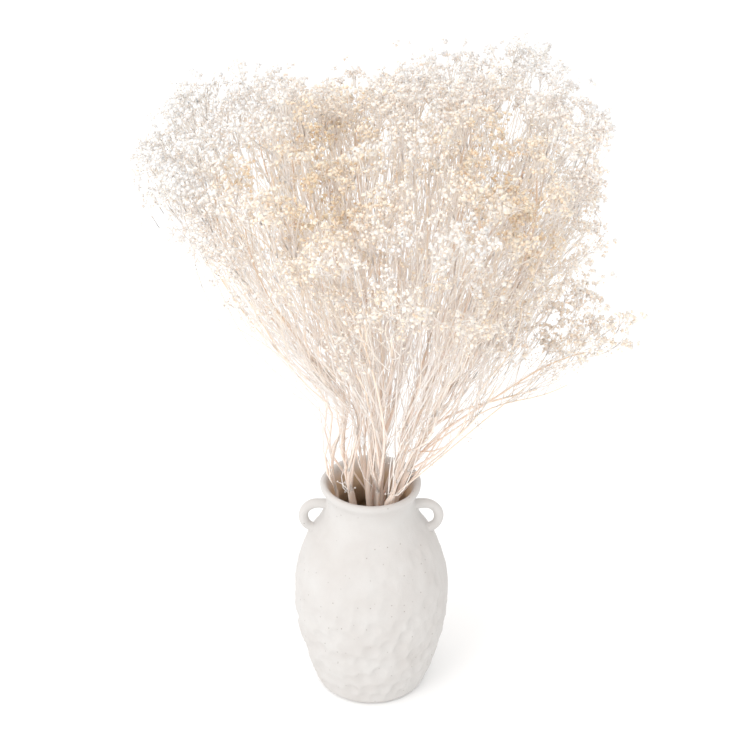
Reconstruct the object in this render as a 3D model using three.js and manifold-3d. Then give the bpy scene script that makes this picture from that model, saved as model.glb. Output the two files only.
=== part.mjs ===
// A hand-formed bisque vase with two ring handles, holding a bunch of dried broom bloom.
// Millimetres, +Z up. The origin is the middle of the vase's foot, on the surface it stands on.
// The vase is one solid, and each woody stem with its branches and bloom heads is one solid.

import * as THREE from 'three';
import { ConvexHull } from 'three/addons/math/ConvexHull.js';
import { mergeVertices } from 'three/addons/utils/BufferGeometryUtils.js';
import Module from 'manifold-3d';

const wasm = await Module();
wasm.setup();

// Vase: outline as radius and height, from the foot's edge up the outside and over the lip
const OUTSIDE = [
  [50, 0], [54.6, 1.6], [58, 6], [65, 25], [74.3, 60], [78.9, 92], [79, 114], [76.2, 140],
  [66, 171], [57.4, 184], [50.2, 197], [44.4, 210], [43.6, 219], [45.6, 227], [49.6, 233],
];
const LIP = [[50.6, 236.6], [49.8, 239.2], [47.2, 240], [44.6, 239], [43.4, 236]];
const INSIDE = [
  [38.4, 221], [38.2, 211], [44, 197], [51.4, 184], [60, 171], [70.2, 140], [73, 104],
  [68.2, 60], [59, 26], [52, 14],
];
const FLOOR_RADIUS = 44;
const FLOOR = 8; // thickness of the vase's floor
const VASE_SIDES = 36;
const OUTSIDE_STEPS = 20;
const OUTLINE_SLACK = 2; // most that the smooth outside lies within its straight-sided outline
const INSIDE_STEPS = 8;

// Hand-pressed dimples in the outer wall: a staggered lattice of shallow round hollows
const DIMPLE_ROWS = 13;
const DIMPLE_BOTTOM = 14;
const DIMPLE_PITCH = 14.5; // from row to row, and about the same round the wall
const DIMPLE_RADIUS = 9;
const DIMPLE_DEPTH = 1.1;
const DIMPLE_JITTER = 0.34; // of the pitch
const DIMPLES_FROM = 4; // height below which the foot stays smooth

// Ring handles: rolled rods in the XZ plane, luted to the neck and the shoulder
const HANDLE_RADIUS = 4.8;
const HANDLE_PATH = [
  [41.6, 211], [50, 213], [59, 212.2], [66, 206.6],
  [68.4, 198], [65.8, 189.4], [59.4, 184.4], [54.6, 183.6],
];
const HANDLE_SIDES = 8;
const HANDLE_STEPS = 10;

// Bunch: every stem keeps to its own cell of a unit disc, which is scaled to the bunch's radius
// at each height, so that no stem crosses another from the vase's floor to the tips.
const FOOT_GAP = 0.3; // between a stem's cut end and the vase's floor
const MOUTH_RADIUS = 36; // of the bunch inside the vase's neck
const CROWN_RADIUS = 216; // of the bunch at its widest
const SPREAD_FROM = 215; // height where the stems begin to open out
const SPREAD_TO = 590; // height where they have opened to the full width
const OPENING = 1.25; // how late they open: 1 is an even S-shaped curve
const LEAN = 8; // that the bunch has shifted towards +X where it is widest
const SWAY = 17; // that it shifts further towards +X above the neck, and back
const SWAY_FROM = 232;
const STEM_RINGS = [[1, 0, 0], [6, 0.44, 12], [11, 0.86, 4]]; // count, place in the disc, first bearing
const CELL_JITTER = 0.045;

// Crown: outline as radius and height, from its top down its side. Its florets are larger and
// fewer than the plant's, and cover it as the real ones do.
const CROWN = [[0, 660], [80, 656], [152, 637], [196, 602], [212, 564], [209, 530], [196, 500]];
const CROWN_STEPS = 60;
const CROWN_HEADS = 80;
const CROWN_FLORETS = 426;
const HEAD_FEWEST = 4;
// how far the crown stands out of its outline where it faces 0, 15, 30 ... 180 degrees from +X
// towards +Z, so that the bunch has the uneven shoulders of one arranged by hand
const STAND_OUT = [-12, -8, 6, 30, 24, 4, -6, -8, -10, 4, -6, 4, 0];
const HEAD_LIFT = 9; // most that a head stands in or out beside its neighbours
const FLORET_LIFT = 5; // and a floret beside the others of its head
const EDGE_TUCK = 22; // that the lowest florets on the -X side are drawn in and up
const EDGE_HEIGHT = 120; // of the band at the crown's lower edge that this fades out over
// low sprays that lean out past the rest: bearing in degrees, distance from the axis, height
const LOW_HEADS = [
  [-14, 240, 455], [-17, 208, 420], [-6, 176, 392], [-26, 146, 420], [38, 188, 440],
  [118, 176, 446], [200, 76, 380], [262, 140, 470],
];
const LOW_FLORETS = 4; // round a middle one
const LOW_REACH = 17;

const HEAD_STALK = 40; // from the point where the floret stalks meet to the middle of the head
const STALK_SHORTEST = 28; // the point is moved back, a step at a time, until every stalk is this long
const ROOT_STEP = 2;
const ROOT_ROOM = 13; // least distance from that point to the edge of its stem's cell
const ROOT_PULL = 0.08; // share of the way to its stem that it is drawn in at a time
const FLORET_RADIUS = 14;
const FLORET_CORNERS = 4;
const FLORET_DEPTH = 9; // from its neck to its rim
const FLORET_MARGIN = 0.5; // that it keeps from its neighbours
const STALK_RADIUS = 0.65;
const STALK_SIDES = 3;

const STEM_RADII = [3.3, 3.2, 3.1, 2.9, 2.6, 2.3, 1.9, 1.6];
const STEM_SIDES = 5;
const BRANCH_RADII = [1.7, 1.5, 1.4];
const BRANCH_SIDES = 3;
const FORK_LOWEST = 262; // above it a stem bends to its own head, and its branches leave it
const FORK_SPAN = 110; // the forks of a stem lie in this height above the lowest
const BRANCH_SHORTEST = 90; // a branch to a low head leaves its stem this far below it
const BEND = 0.75; // below 1, stems and branches turn outwards early on their way up

// Knot at the end of a stem or branch: a faceted ball that the stalks of a head grow from
const KNOT_RADIUS = 3.4;
const STALK_CAP = 9; // half angle in degrees that a stalk's foot takes up on the ball
const BRANCH_CAP = 26; // and that of the stem or branch
const CAP_GAP = 2;
const SPACING_ROUNDS = 40;

const SIDEWAYS = new THREE.Vector3(0.3, 1, 0); // no stem or stalk runs quite this way
const GOLDEN_ANGLE = Math.PI * (3 - Math.sqrt(5));
const DEGREE = Math.PI / 180;

const bisque = new THREE.MeshStandardMaterial({ color: 0xeae6e1, roughness: 0.9, metalness: 0 });
const driedBloom = new THREE.MeshStandardMaterial({ color: 0xeadccb, roughness: 0.85, metalness: 0 });

// A repeatable draw from 0 to 1 for two whole numbers.
function draw(i, k) {
  const s = Math.sin(i * 12.9898 + k * 78.233 + 4.1) * 43758.5453;
  return s - Math.floor(s);
}

// A repeatable draw from -1 to 1.
function signed(i, k) {
  return 2 * draw(i, k) - 1;
}

// A closed three.js geometry as a solid that can be joined.
function solidOf(geometry) {
  const bare = geometry.clone();
  bare.deleteAttribute('normal');
  bare.deleteAttribute('uv');
  const merged = mergeVertices(bare, 1e-4);
  const index = merged.index.array;
  const triangles = [];
  for (let i = 0; i < index.length; i += 3) {
    const [a, b, c] = [index[i], index[i + 1], index[i + 2]];
    if (a !== b && b !== c && c !== a) triangles.push(a, b, c);
  }
  return new wasm.Manifold(new wasm.Mesh({
    numProp: 3,
    vertProperties: merged.attributes.position.array,
    triVerts: new Uint32Array(triangles),
  }));
}

function geometryOf(solid) {
  const { numProp, vertProperties, triVerts } = solid.getMesh();
  const positions = new Float32Array((vertProperties.length / numProp) * 3);
  for (let i = 0; i < positions.length / 3; i++) {
    positions.set(vertProperties.subarray(i * numProp, i * numProp + 3), i * 3);
  }
  return new THREE.BufferGeometry()
    .setAttribute('position', new THREE.BufferAttribute(positions, 3))
    .setIndex(new THREE.BufferAttribute(triVerts, 1));
}

function pieceOf(name, solid, material) {
  const piece = new THREE.Mesh(geometryOf(solid), material);
  piece.name = name;
  return piece;
}

// Moves each vertex of a geometry to the place that a function gives for it.
function reshape(geometry, placeOf) {
  const place = geometry.attributes.position;
  const at = new THREE.Vector3();
  for (let i = 0; i < place.count; i++) {
    at.copy(placeOf(at.fromBufferAttribute(place, i)));
    place.setXYZ(i, at.x, at.y, at.z);
  }
  return geometry;
}

// Vase

function dimpleCentres() {
  const centres = [];
  for (let row = 0; row < DIMPLE_ROWS; row++) {
    const height = DIMPLE_BOTTOM + row * DIMPLE_PITCH;
    const count = Math.round((2 * Math.PI * outerRadius(height)) / DIMPLE_PITCH);
    for (let i = 0; i < count; i++) {
      const shift = (draw(row, i) - 0.5) * DIMPLE_JITTER;
      centres.push({
        bearing: ((i + 0.5 * (row % 2) + shift) * 2 * Math.PI) / count,
        height: height + (draw(i, row + 50) - 0.5) * DIMPLE_JITTER * DIMPLE_PITCH,
      });
    }
  }
  return centres;
}

function outerRadius(height) {
  for (let i = 1; i < OUTSIDE.length; i++) {
    const [r0, z0] = OUTSIDE[i - 1];
    const [r1, z1] = OUTSIDE[i];
    if (height <= z1) return THREE.MathUtils.mapLinear(height, z0, z1, r0, r1);
  }
  return OUTSIDE.at(-1)[0];
}

// How far the wall is pressed in at a point: deepest in the middle of the nearest dimple.
function dimpleDepth(centres, bearing, height, radius) {
  let nearest = Infinity;
  for (const c of centres) {
    const along = radius * Math.atan2(Math.sin(bearing - c.bearing), Math.cos(bearing - c.bearing));
    nearest = Math.min(nearest, Math.hypot(along, height - c.height));
  }
  const share = Math.min(1, nearest / DIMPLE_RADIUS);
  return DIMPLE_DEPTH * (1 - share * share);
}

function vaseSolid() {
  const toPoints = (list) => list.map(([r, z]) => new THREE.Vector2(r, z));
  const outside = new THREE.SplineCurve(toPoints(OUTSIDE)).getPoints(OUTSIDE_STEPS);
  const inside = new THREE.SplineCurve(toPoints(INSIDE)).getPoints(INSIDE_STEPS);
  const profile = [
    new THREE.Vector2(0, 0),
    ...outside,
    ...toPoints(LIP),
    ...inside,
    new THREE.Vector2(FLOOR_RADIUS, FLOOR),
    new THREE.Vector2(0, FLOOR),
  ];
  const wall = new THREE.LatheGeometry(profile, VASE_SIDES).rotateX(Math.PI / 2);
  const centres = dimpleCentres();
  const top = DIMPLE_BOTTOM + (DIMPLE_ROWS - 0.5) * DIMPLE_PITCH;
  reshape(wall, (p) => {
    const radius = Math.hypot(p.x, p.y);
    const onOutside = p.z > DIMPLES_FROM && p.z < top && radius > outerRadius(p.z) - OUTLINE_SLACK;
    if (!onOutside) return p;
    const scale = 1 - dimpleDepth(centres, Math.atan2(p.y, p.x), p.z, radius) / radius;
    return p.set(p.x * scale, p.y * scale, p.z);
  });
  return solidOf(wall);
}

function handleSolid(side) {
  const path = new THREE.CatmullRomCurve3(HANDLE_PATH.map(([r, z]) => new THREE.Vector3(side * r, 0, z)));
  const section = new THREE.Shape();
  for (let i = 0; i < HANDLE_SIDES; i++) {
    const turn = ((i + 0.5) * 2 * Math.PI) / HANDLE_SIDES;
    const [x, y] = [HANDLE_RADIUS * Math.cos(turn), HANDLE_RADIUS * Math.sin(turn)];
    if (i === 0) section.moveTo(x, y);
    else section.lineTo(x, y);
  }
  const rod = { steps: HANDLE_STEPS, extrudePath: path, bevelEnabled: false };
  return solidOf(new THREE.ExtrudeGeometry(section, rod));
}

// Bunch

// How far a height is on the way from one to another, from 0 to 1.
function progress(height, from, to) {
  return THREE.MathUtils.clamp((height - from) / (to - from), 0, 1);
}

// How far the bunch has opened out at a height, from 0 to 1.
function opened(height) {
  return (0.5 * (1 - Math.cos(Math.PI * progress(height, SPREAD_FROM, SPREAD_TO)))) ** OPENING;
}

// How far the bunch's middle stands off the vase's axis at a height.
function offAxis(height) {
  const sway = Math.sin(Math.PI * Math.sqrt(progress(height, SWAY_FROM, SPREAD_TO))) ** 2;
  return LEAN * opened(height) + SWAY * sway;
}

// Radius that the unit disc of the cells is scaled to at a height.
function spread(height) {
  return THREE.MathUtils.lerp(MOUTH_RADIUS, CROWN_RADIUS, opened(height));
}

// A point's place in the unit disc of the cells, and the point that a place in it stands for.
function inDisc(point) {
  return new THREE.Vector2(point.x - offAxis(point.z), point.y).divideScalar(spread(point.z));
}

function fromDisc(at, height) {
  const scale = spread(height);
  return new THREE.Vector3(at.x * scale + offAxis(height), at.y * scale, height);
}

// The stems' places in the unit disc.
function stemCells() {
  const cells = [];
  STEM_RINGS.forEach(([count, place, first]) => {
    for (let i = 0; i < count; i++) {
      const bearing = (first + (i * 360) / count) * DEGREE;
      const k = cells.length;
      cells.push(new THREE.Vector2(
        place * Math.cos(bearing) + CELL_JITTER * signed(k, 1),
        place * Math.sin(bearing) + CELL_JITTER * signed(k, 2),
      ));
    }
  });
  return cells;
}

// The stem whose cell a point lies in.
function nearestCell(cells, point) {
  return nearest(cells, inDisc(point));
}

// Distance in millimetres from a point to the nearest edge of a stem's cell, less than 0 outside it.
function roomIn(cells, own, point) {
  const at = inDisc(point).sub(cells[own]);
  const rooms = cells.filter((_, i) => i !== own).map((other) => {
    const apart = other.clone().sub(cells[own]);
    return (apart.length() / 2 - at.dot(apart) / apart.length()) * spread(point.z);
  });
  return Math.min(...rooms);
}

// Points spread evenly over the crown by the golden angle, each with the direction it faces.
function crownPoints(count) {
  const crown = new THREE.SplineCurve(CROWN.map(([r, z]) => new THREE.Vector2(r, z)));
  const outline = crown.getPoints(CROWN_STEPS);
  const areas = [0];
  for (let i = 1; i < outline.length; i++) {
    areas.push(areas[i - 1] + outline[i].distanceTo(outline[i - 1]) * (outline[i].x + outline[i - 1].x));
  }
  let i = 1;
  return Array.from({ length: count }, (_, k) => {
    const area = (areas.at(-1) * (k + 0.5)) / count;
    while (areas[i] < area) i++;
    const at = outline[i - 1].clone().lerp(outline[i], (area - areas[i - 1]) / (areas[i] - areas[i - 1]));
    const down = outline[i].clone().sub(outline[i - 1]).normalize();
    const [east, north] = [Math.cos(k * GOLDEN_ANGLE), Math.sin(k * GOLDEN_ANGLE)];
    return {
      place: new THREE.Vector3(at.x * east + LEAN, at.x * north, at.y),
      faces: new THREE.Vector3(-down.y * east, -down.y * north, down.x),
    };
  });
}

// How far the crown stands out of its outline where it faces a direction.
function standOut(faces) {
  const at = Math.abs(Math.atan2(faces.z, faces.x)) / (Math.PI / (STAND_OUT.length - 1));
  const below = Math.min(Math.floor(at), STAND_OUT.length - 2);
  return THREE.MathUtils.lerp(STAND_OUT[below], STAND_OUT[below + 1], at - below);
}

// Moves a floret out by the shape of the crown, and by its head's and its own small draw.
function settle(floret, head, k) {
  const [{ place, faces }, edge] = [floret, CROWN.at(-1)[1]];
  const distance = Math.hypot(place.x, place.y);
  const tuck = EDGE_TUCK * Math.max(0, -place.x / distance) * (1 - progress(place.z, edge, edge + EDGE_HEIGHT));
  place.x -= (tuck * place.x) / distance;
  place.y -= (tuck * place.y) / distance;
  place.z += tuck;
  place.addScaledVector(faces, standOut(faces) + HEAD_LIFT * signed(head, 3) + FLORET_LIFT * signed(k, 4));
}

// The nearest of some places to a point, as its number.
function nearest(places, point) {
  const apart = places.map((place) => place.distanceTo(point));
  return apart.indexOf(Math.min(...apart));
}

// Shares florets out among heads, each to the nearest, and gives up heads that are left too small.
function sharedOut(heads, florets) {
  const shared = heads.map((head) => ({ ...head, florets: [] }));
  const places = heads.map((head) => head.place);
  florets.forEach((floret) => shared[nearest(places, floret.place)].florets.push(floret));
  const kept = shared.filter((head) => head.florets.length >= HEAD_FEWEST);
  return kept.length === shared.length ? kept : sharedOut(kept, florets);
}

// The bloom heads of every stem. A floret grows from the stem whose cell it lies in.
function bloomHeads(cells) {
  const headsOf = cells.map(() => []);
  const floretsOf = cells.map(() => []);
  const heads = crownPoints(CROWN_HEADS);
  const places = heads.map((head) => head.place);
  heads.forEach((head) => headsOf[nearestCell(cells, head.place)].push(head));
  crownPoints(CROWN_FLORETS).forEach((floret, k) => {
    floretsOf[nearestCell(cells, floret.place)].push(floret);
    settle(floret, nearest(places, floret.place), k);
  });
  const allHeads = cells.map((_, i) => sharedOut(headsOf[i], floretsOf[i]));
  LOW_HEADS.forEach(([degrees, distance, height], k) => {
    const bearing = degrees * DEGREE;
    const place = new THREE.Vector3(distance * Math.cos(bearing), distance * Math.sin(bearing), height);
    const faces = new THREE.Vector3(Math.cos(bearing), Math.sin(bearing), 1).normalize();
    const around = ring(place, LOW_REACH, LOW_FLORETS, crossing(faces));
    const florets = [place, ...around].map((at, i) => (
      { place: at.clone().addScaledVector(faces, FLORET_LIFT * signed(k, 5 + i)), faces }
    ));
    allHeads[nearestCell(cells, place)].push({ place, faces, florets });
  });
  return allHeads;
}

// The point where the stalks of a head meet: behind its florets, and well inside its stem's cell.
function rootOf(cells, own, head) {
  const faces = head.faces.clone().add(new THREE.Vector3(0, 0, 1)).normalize();
  const root = head.florets.reduce((sum, floret) => sum.add(floret.place), new THREE.Vector3())
    .divideScalar(head.florets.length)
    .addScaledVector(faces, -HEAD_STALK);
  while (head.florets.some((floret) => floret.place.distanceTo(root) < STALK_SHORTEST)) {
    root.addScaledVector(faces, -ROOT_STEP);
  }
  const home = fromDisc(cells[own], root.z);
  while (roomIn(cells, own, root) < ROOT_ROOM) {
    root.x = THREE.MathUtils.lerp(root.x, home.x, ROOT_PULL);
    root.y = THREE.MathUtils.lerp(root.y, home.y, ROOT_PULL);
  }
  return root;
}

// Two directions at right angles to a line and to each other.
function crossing(along) {
  const across = SIDEWAYS.clone().cross(along).normalize();
  return [across, along.clone().cross(across).normalize()];
}

// Points evenly round a middle, in the plane of two directions.
function ring(middle, radius, count, [across, up]) {
  return Array.from({ length: count }, (_, i) => {
    const turn = (i * 2 * Math.PI) / count;
    return middle.clone()
      .addScaledVector(across, radius * Math.cos(turn))
      .addScaledVector(up, radius * Math.sin(turn));
  });
}

// A surface gathered as points and triangles, ring by ring.
class Skin {
  points = [];
  triangles = [];

  add(points) {
    const first = this.points.length;
    this.points.push(...points);
    return points.map((_, i) => first + i);
  }

  // Joins two rings of any counts, one triangle for each of their points.
  wall(lower, upper) {
    const [n, m] = [lower.length, upper.length];
    let [i, j] = [0, 0];
    while (i + j < n + m) {
      if ((i + 0.5) * m < (j + 0.5) * n) {
        this.triangles.push(lower[i], lower[(i + 1) % n], upper[j % m]);
        i += 1;
      } else {
        this.triangles.push(lower[i % n], upper[(j + 1) % m], upper[j]);
        j += 1;
      }
    }
  }

  close(edge, tip) {
    edge.forEach((a, i) => this.triangles.push(a, edge[(i + 1) % edge.length], tip));
  }

  solid() {
    const positions = new THREE.Float32BufferAttribute(this.points.flatMap((p) => p.toArray()), 3);
    return solidOf(new THREE.BufferGeometry().setAttribute('position', positions).setIndex(this.triangles));
  }
}

// The widest that a floret can be beside the others of its head, clear of their stalks and rims.
function roomyRadius(florets, own, root) {
  const place = florets[own].place;
  const rooms = florets.filter((_, i) => i !== own).map((other) => {
    const stalk = new THREE.Line3(root, other.place);
    const aside = stalk.closestPointToPoint(place, true, new THREE.Vector3()).distanceTo(place);
    return Math.min(place.distanceTo(other.place) / 2, aside - STALK_RADIUS) - FLORET_MARGIN;
  });
  return Math.min(FLORET_RADIUS, ...rooms);
}

// A floret on its stalk, grown out of one three-cornered face: a slim stalk, a flared rim with
// four corners and a sunken middle.
function growFloret(skin, base, floret, radius) {
  const corners = base.map((i) => skin.points[i]);
  const root = corners.reduce((sum, p) => sum.add(p), new THREE.Vector3()).divideScalar(corners.length);
  const along = floret.place.clone().sub(root);
  const length = along.length();
  along.normalize();
  const faces = floret.faces.clone().add(along).normalize();
  const across = corners[0].clone().sub(root).projectOnPlane(along).normalize();
  const neckMiddle = root.clone().addScaledVector(along, length - FLORET_DEPTH);
  const neck = skin.add(ring(neckMiddle, STALK_RADIUS, STALK_SIDES, [across, along.clone().cross(across)]));
  const wide = across.clone().projectOnPlane(faces).normalize();
  const rim = skin.add(ring(floret.place, radius, FLORET_CORNERS, [wide, faces.clone().cross(wide)]));
  const centre = skin.add([floret.place.clone().addScaledVector(along, -FLORET_DEPTH / 2)]);
  skin.wall(base, neck);
  skin.wall(neck, rim);
  skin.close(rim, centre[0]);
}

// Turns directions apart until the caps round them, given by their half angles, are clear.
function spacedOut(ways, caps) {
  const turned = ways.map((way) => way.clone());
  for (let round = 0; round < SPACING_ROUNDS; round++) {
    turned.forEach((a, i) => turned.slice(0, i).forEach((b, j) => {
      const lack = (caps[i] + caps[j] + CAP_GAP) * DEGREE - a.angleTo(b);
      if (lack <= 0) return;
      const axis = b.clone().cross(a).normalize();
      a.applyAxisAngle(axis, lack / 2);
      b.applyAxisAngle(axis, -lack / 2);
    }));
  }
  return turned;
}

// A stem or branch along its points. It ends in a knot: the hull of small triangles on a ball,
// one where it comes in and one for each floret of its head, which faces the floret's way.
function flowering(points, radii, sides, florets) {
  const skin = new Skin();
  const end = points.at(-1);
  const rings = radii.map((radius, i) => {
    const along = points[i + 1].clone().sub(points[Math.max(i - 1, 0)]).normalize();
    return skin.add(ring(points[i], radius, sides, crossing(along)));
  });
  skin.close([...rings[0]].reverse(), skin.add([points[0]])[0]);
  rings.slice(1).forEach((upper, i) => skin.wall(rings[i], upper));

  const wayTo = (place) => place.clone().sub(end).normalize();
  const caps = [BRANCH_CAP, ...florets.map(() => STALK_CAP)];
  const ways = spacedOut([wayTo(points.at(-2)), ...florets.map((floret) => wayTo(floret.place))], caps);
  const feet = ways.map((way, i) => {
    const middle = end.clone().addScaledVector(way, KNOT_RADIUS * Math.cos(caps[i] * DEGREE));
    const upward = i === 0 ? way.clone().negate() : way;
    return skin.add(ring(middle, KNOT_RADIUS * Math.sin(caps[i] * DEGREE), STALK_SIDES, crossing(upward)));
  });
  new ConvexHull().setFromPoints(feet.flat().map((i) => skin.points[i])).faces.forEach(({ edge }) => {
    const corners = [edge, edge.next, edge.next.next].map((e) => skin.points.indexOf(e.head().point));
    const isFoot = feet.some((foot) => corners.every((corner) => foot.includes(corner)));
    if (!isFoot) skin.triangles.push(...corners);
  });
  skin.wall(rings.at(-1), feet[0]);
  florets.forEach((floret, k) => growFloret(skin, feet[k + 1], floret, roomyRadius(florets, k, end)));
  return skin.solid();
}

// One woody stem with its branches and bloom heads. The highest head ends the stem itself, and
// the others end branches that leave it one above the other.
function spraySolid(cells, own, heads) {
  const rooted = heads.map((head) => ({ florets: head.florets, root: rootOf(cells, own, head) }))
    .toSorted((a, b) => b.root.z - a.root.z);
  const pathTo = (root, from, bend, start, count) => {
    const end = inDisc(root);
    return Array.from({ length: count }, (_, i) => {
      const height = THREE.MathUtils.lerp(from, root.z, i / (count - 1));
      const t = THREE.MathUtils.clamp((height - bend) / (root.z - bend), 0, 1);
      return fromDisc(start.clone().lerp(end, t ** BEND), height);
    });
  };
  const [leader, ...others] = rooted;
  const stem = pathTo(leader.root, FLOOR + FOOT_GAP, FORK_LOWEST, cells[own], STEM_RADII.length + 1);
  const solids = [flowering(stem, STEM_RADII, STEM_SIDES, leader.florets)];
  others.forEach(({ root, florets }, k) => {
    const height = Math.min(FORK_LOWEST + FORK_SPAN * (1 - k / others.length), root.z - BRANCH_SHORTEST);
    const above = stem.findIndex((p) => p.z > height);
    const [a, b] = [stem[above - 1], stem[above]];
    const fork = a.clone().lerp(b, (height - a.z) / (b.z - a.z));
    const branch = pathTo(root, height, height, inDisc(fork), BRANCH_RADII.length + 1);
    solids.push(flowering(branch, BRANCH_RADII, BRANCH_SIDES, florets));
  });
  return wasm.Manifold.union(solids);
}

// Assembly

const group = new THREE.Group();
group.add(pieceOf('vase', vaseSolid().add(handleSolid(1)).add(handleSolid(-1)), bisque));

const cells = stemCells();
const headsOf = bloomHeads(cells);
cells.forEach((cell, i) => {
  const name = `spray_${String(i + 1).padStart(2, '0')}`;
  group.add(pieceOf(name, spraySolid(cells, i, headsOf[i]), driedBloom));
});

export default group;
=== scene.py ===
"""A hand-formed bisque vase with two ring handles, filled with dried broom bloom.

Sizes are in millimetres and are turned to metres when a mesh is made. The vase's wall and the
stems' places follow the same named values as the solids that they stand for.
"""

import math

import bpy
import numpy as np
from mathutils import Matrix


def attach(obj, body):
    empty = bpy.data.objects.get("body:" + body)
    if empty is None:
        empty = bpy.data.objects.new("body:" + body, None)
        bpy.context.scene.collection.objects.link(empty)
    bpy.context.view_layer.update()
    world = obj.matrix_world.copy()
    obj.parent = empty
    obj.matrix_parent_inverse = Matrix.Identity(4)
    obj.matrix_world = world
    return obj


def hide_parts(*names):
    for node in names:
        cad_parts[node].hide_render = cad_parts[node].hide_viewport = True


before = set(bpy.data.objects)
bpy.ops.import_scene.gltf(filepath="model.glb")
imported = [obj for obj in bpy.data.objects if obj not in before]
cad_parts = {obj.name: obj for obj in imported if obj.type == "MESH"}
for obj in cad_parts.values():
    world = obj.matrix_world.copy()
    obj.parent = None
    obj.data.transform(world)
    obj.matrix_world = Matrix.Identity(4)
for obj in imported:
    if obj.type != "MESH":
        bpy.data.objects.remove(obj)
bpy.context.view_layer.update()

bl_info = {
    "name": "Vase of dried broom bloom",
    "version": (1, 0, 0),
    "blender": (4, 5, 0),
    "location": "View3D > Sidebar > Dried bloom",
    "description": "Builds a bisque vase filled with dried broom bloom, and its studio",
    "category": "Add Mesh",
}

MM = 0.001
GOLDEN_ANGLE = math.pi * (3 - math.sqrt(5))

# Vase: outline as radius and height, from the foot's edge over the lip and down the inside
OUTSIDE = [
    (50, 0), (54.6, 1.6), (58, 6), (65, 25), (74.3, 60), (78.9, 92), (79, 114), (76.2, 140),
    (66, 171), (57.4, 184), (50.2, 197), (44.4, 210), (43.6, 219), (45.6, 227), (49.6, 233),
]
LIP = [(50.6, 236.6), (49.8, 239.2), (47.2, 240), (44.6, 239), (43.4, 236)]
INSIDE = [
    (38.4, 221), (38.2, 211), (44, 197), (51.4, 184), (60, 171), (70.2, 140), (73, 104),
    (68.2, 60), (59, 26), (52, 14), (44, 8),
]
WALL_STEPS = 600  # of the outline, before it is cut into even rows
WALL_ROWS = 190
WALL_COLUMNS = 240
FOOT_START, FLOOR_END = 8.0, 6.0  # radii where the rows begin under the foot and end on the floor
NECK_SHADE_LEVELS = (224.5, 238.5)  # heights between which the painted shade of the inner wall sets in, full below the lower one

# Waver of the wall and the rim: share of each wave, waves round, turn for each millimetre up, start
WAVES = [(0.5, 3, 0.02, 0), (0.3, 5, -0.035, 1), (0.2, 2, 0.11, 0)]
WAVER_RADII = (5, 40)  # over which it sets in
RIM_WAVE = (0.6, 2, 0.7)  # share, waves round, start
RIM_LEVELS = (200, 240)  # over which it sets in

# Dimples: a staggered lattice of shallow hand-pressed hollows in the outer wall
DIMPLE_ROWS = 13
DIMPLE_BOTTOM = 14
DIMPLE_PITCH = 14.5
DIMPLE_RADIUS = 9
DIMPLE_LEAST = 0.2  # depth of the faintest, for the deepest
DIMPLE_JITTER = 0.34
DIMPLE_STRAY = 3.2  # that the middles of the pressed ones stray by
DIMPLE_SOFTNESS = 8  # the higher, the sharper the ridges between hollows
DIMPLE_UPPER = 0.35  # how deep the upper ones are, for the lower ones' depth
DIMPLE_LEVELS = (80, 150)
DIMPLES_FROM = 4
DIMPLES_TO = 195
DIMPLE_FADE = 14

# Ring handles, and the smear of clay round each of their ends
HANDLE_RADIUS = 4.8
HANDLE_PATH = [
    (41.6, 211), (50, 213), (59, 212.2), (66, 206.6),
    (68.4, 198), (65.8, 189.4), (59.4, 184.4), (54.6, 183.6),
]
HANDLE_ROWS = 72
HANDLE_COLUMNS = 36
HANDLE_FLARE = 2.6  # that a rod widens by where it meets the wall
FLARE_POWER = 7
HANDLE_UNEVEN = (0.16, 9)  # height of its small waves, and their turn over half its length
SMEARS = [(211.5, 2.4, 7.5), (184.5, 2.2, 9.0)]  # height, thickness, radius

# Bunch: each stem keeps to its own place in a disc that is scaled to the bunch at each height
FLOOR = 8
FOOT_GAP = 0.3
MOUTH_RADIUS = 36
CROWN_RADIUS = 216
SPREAD_FROM = 215
SPREAD_TO = 590
OPENING = 1.25
LEAN = 8
SWAY = 17
SWAY_FROM = 232
STEM_RINGS = [(1, 0, 0), (6, 0.44, 12), (11, 0.86, 4)]
CELL_JITTER = 0.045

CROWN = [(0, 660), (80, 656), (152, 637), (196, 602), (212, 564), (209, 530), (196, 500)]
CROWN_STEPS = 60
CROWN_HEADS = 80
CROWN_CLUSTERS = 426
HEAD_FEWEST = 4
STAND_OUT = [-12, -8, 6, 30, 24, 4, -6, -8, -10, 4, -6, 4, 0]
HEAD_LIFT = 9
CLUSTER_LIFT = 5
EDGE_TUCK = 22
EDGE_HEIGHT = 120
LOW_HEADS = [
    (-14, 240, 455), (-17, 208, 420), (-6, 176, 392), (-26, 146, 420), (38, 188, 440),
    (118, 176, 446), (200, 76, 380), (262, 140, 470),
]
LOW_CLUSTERS = 4
LOW_REACH = 17
HEAD_STALK = 40
STALK_SHORTEST = 28
ROOT_STEP = 2
ROOT_ROOM = 13
ROOT_PULL = 0.08
FORK_LOWEST = 262
BEND = 0.75
SIDEWAYS = np.array([0.3, 1.0, 0.0])

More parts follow.
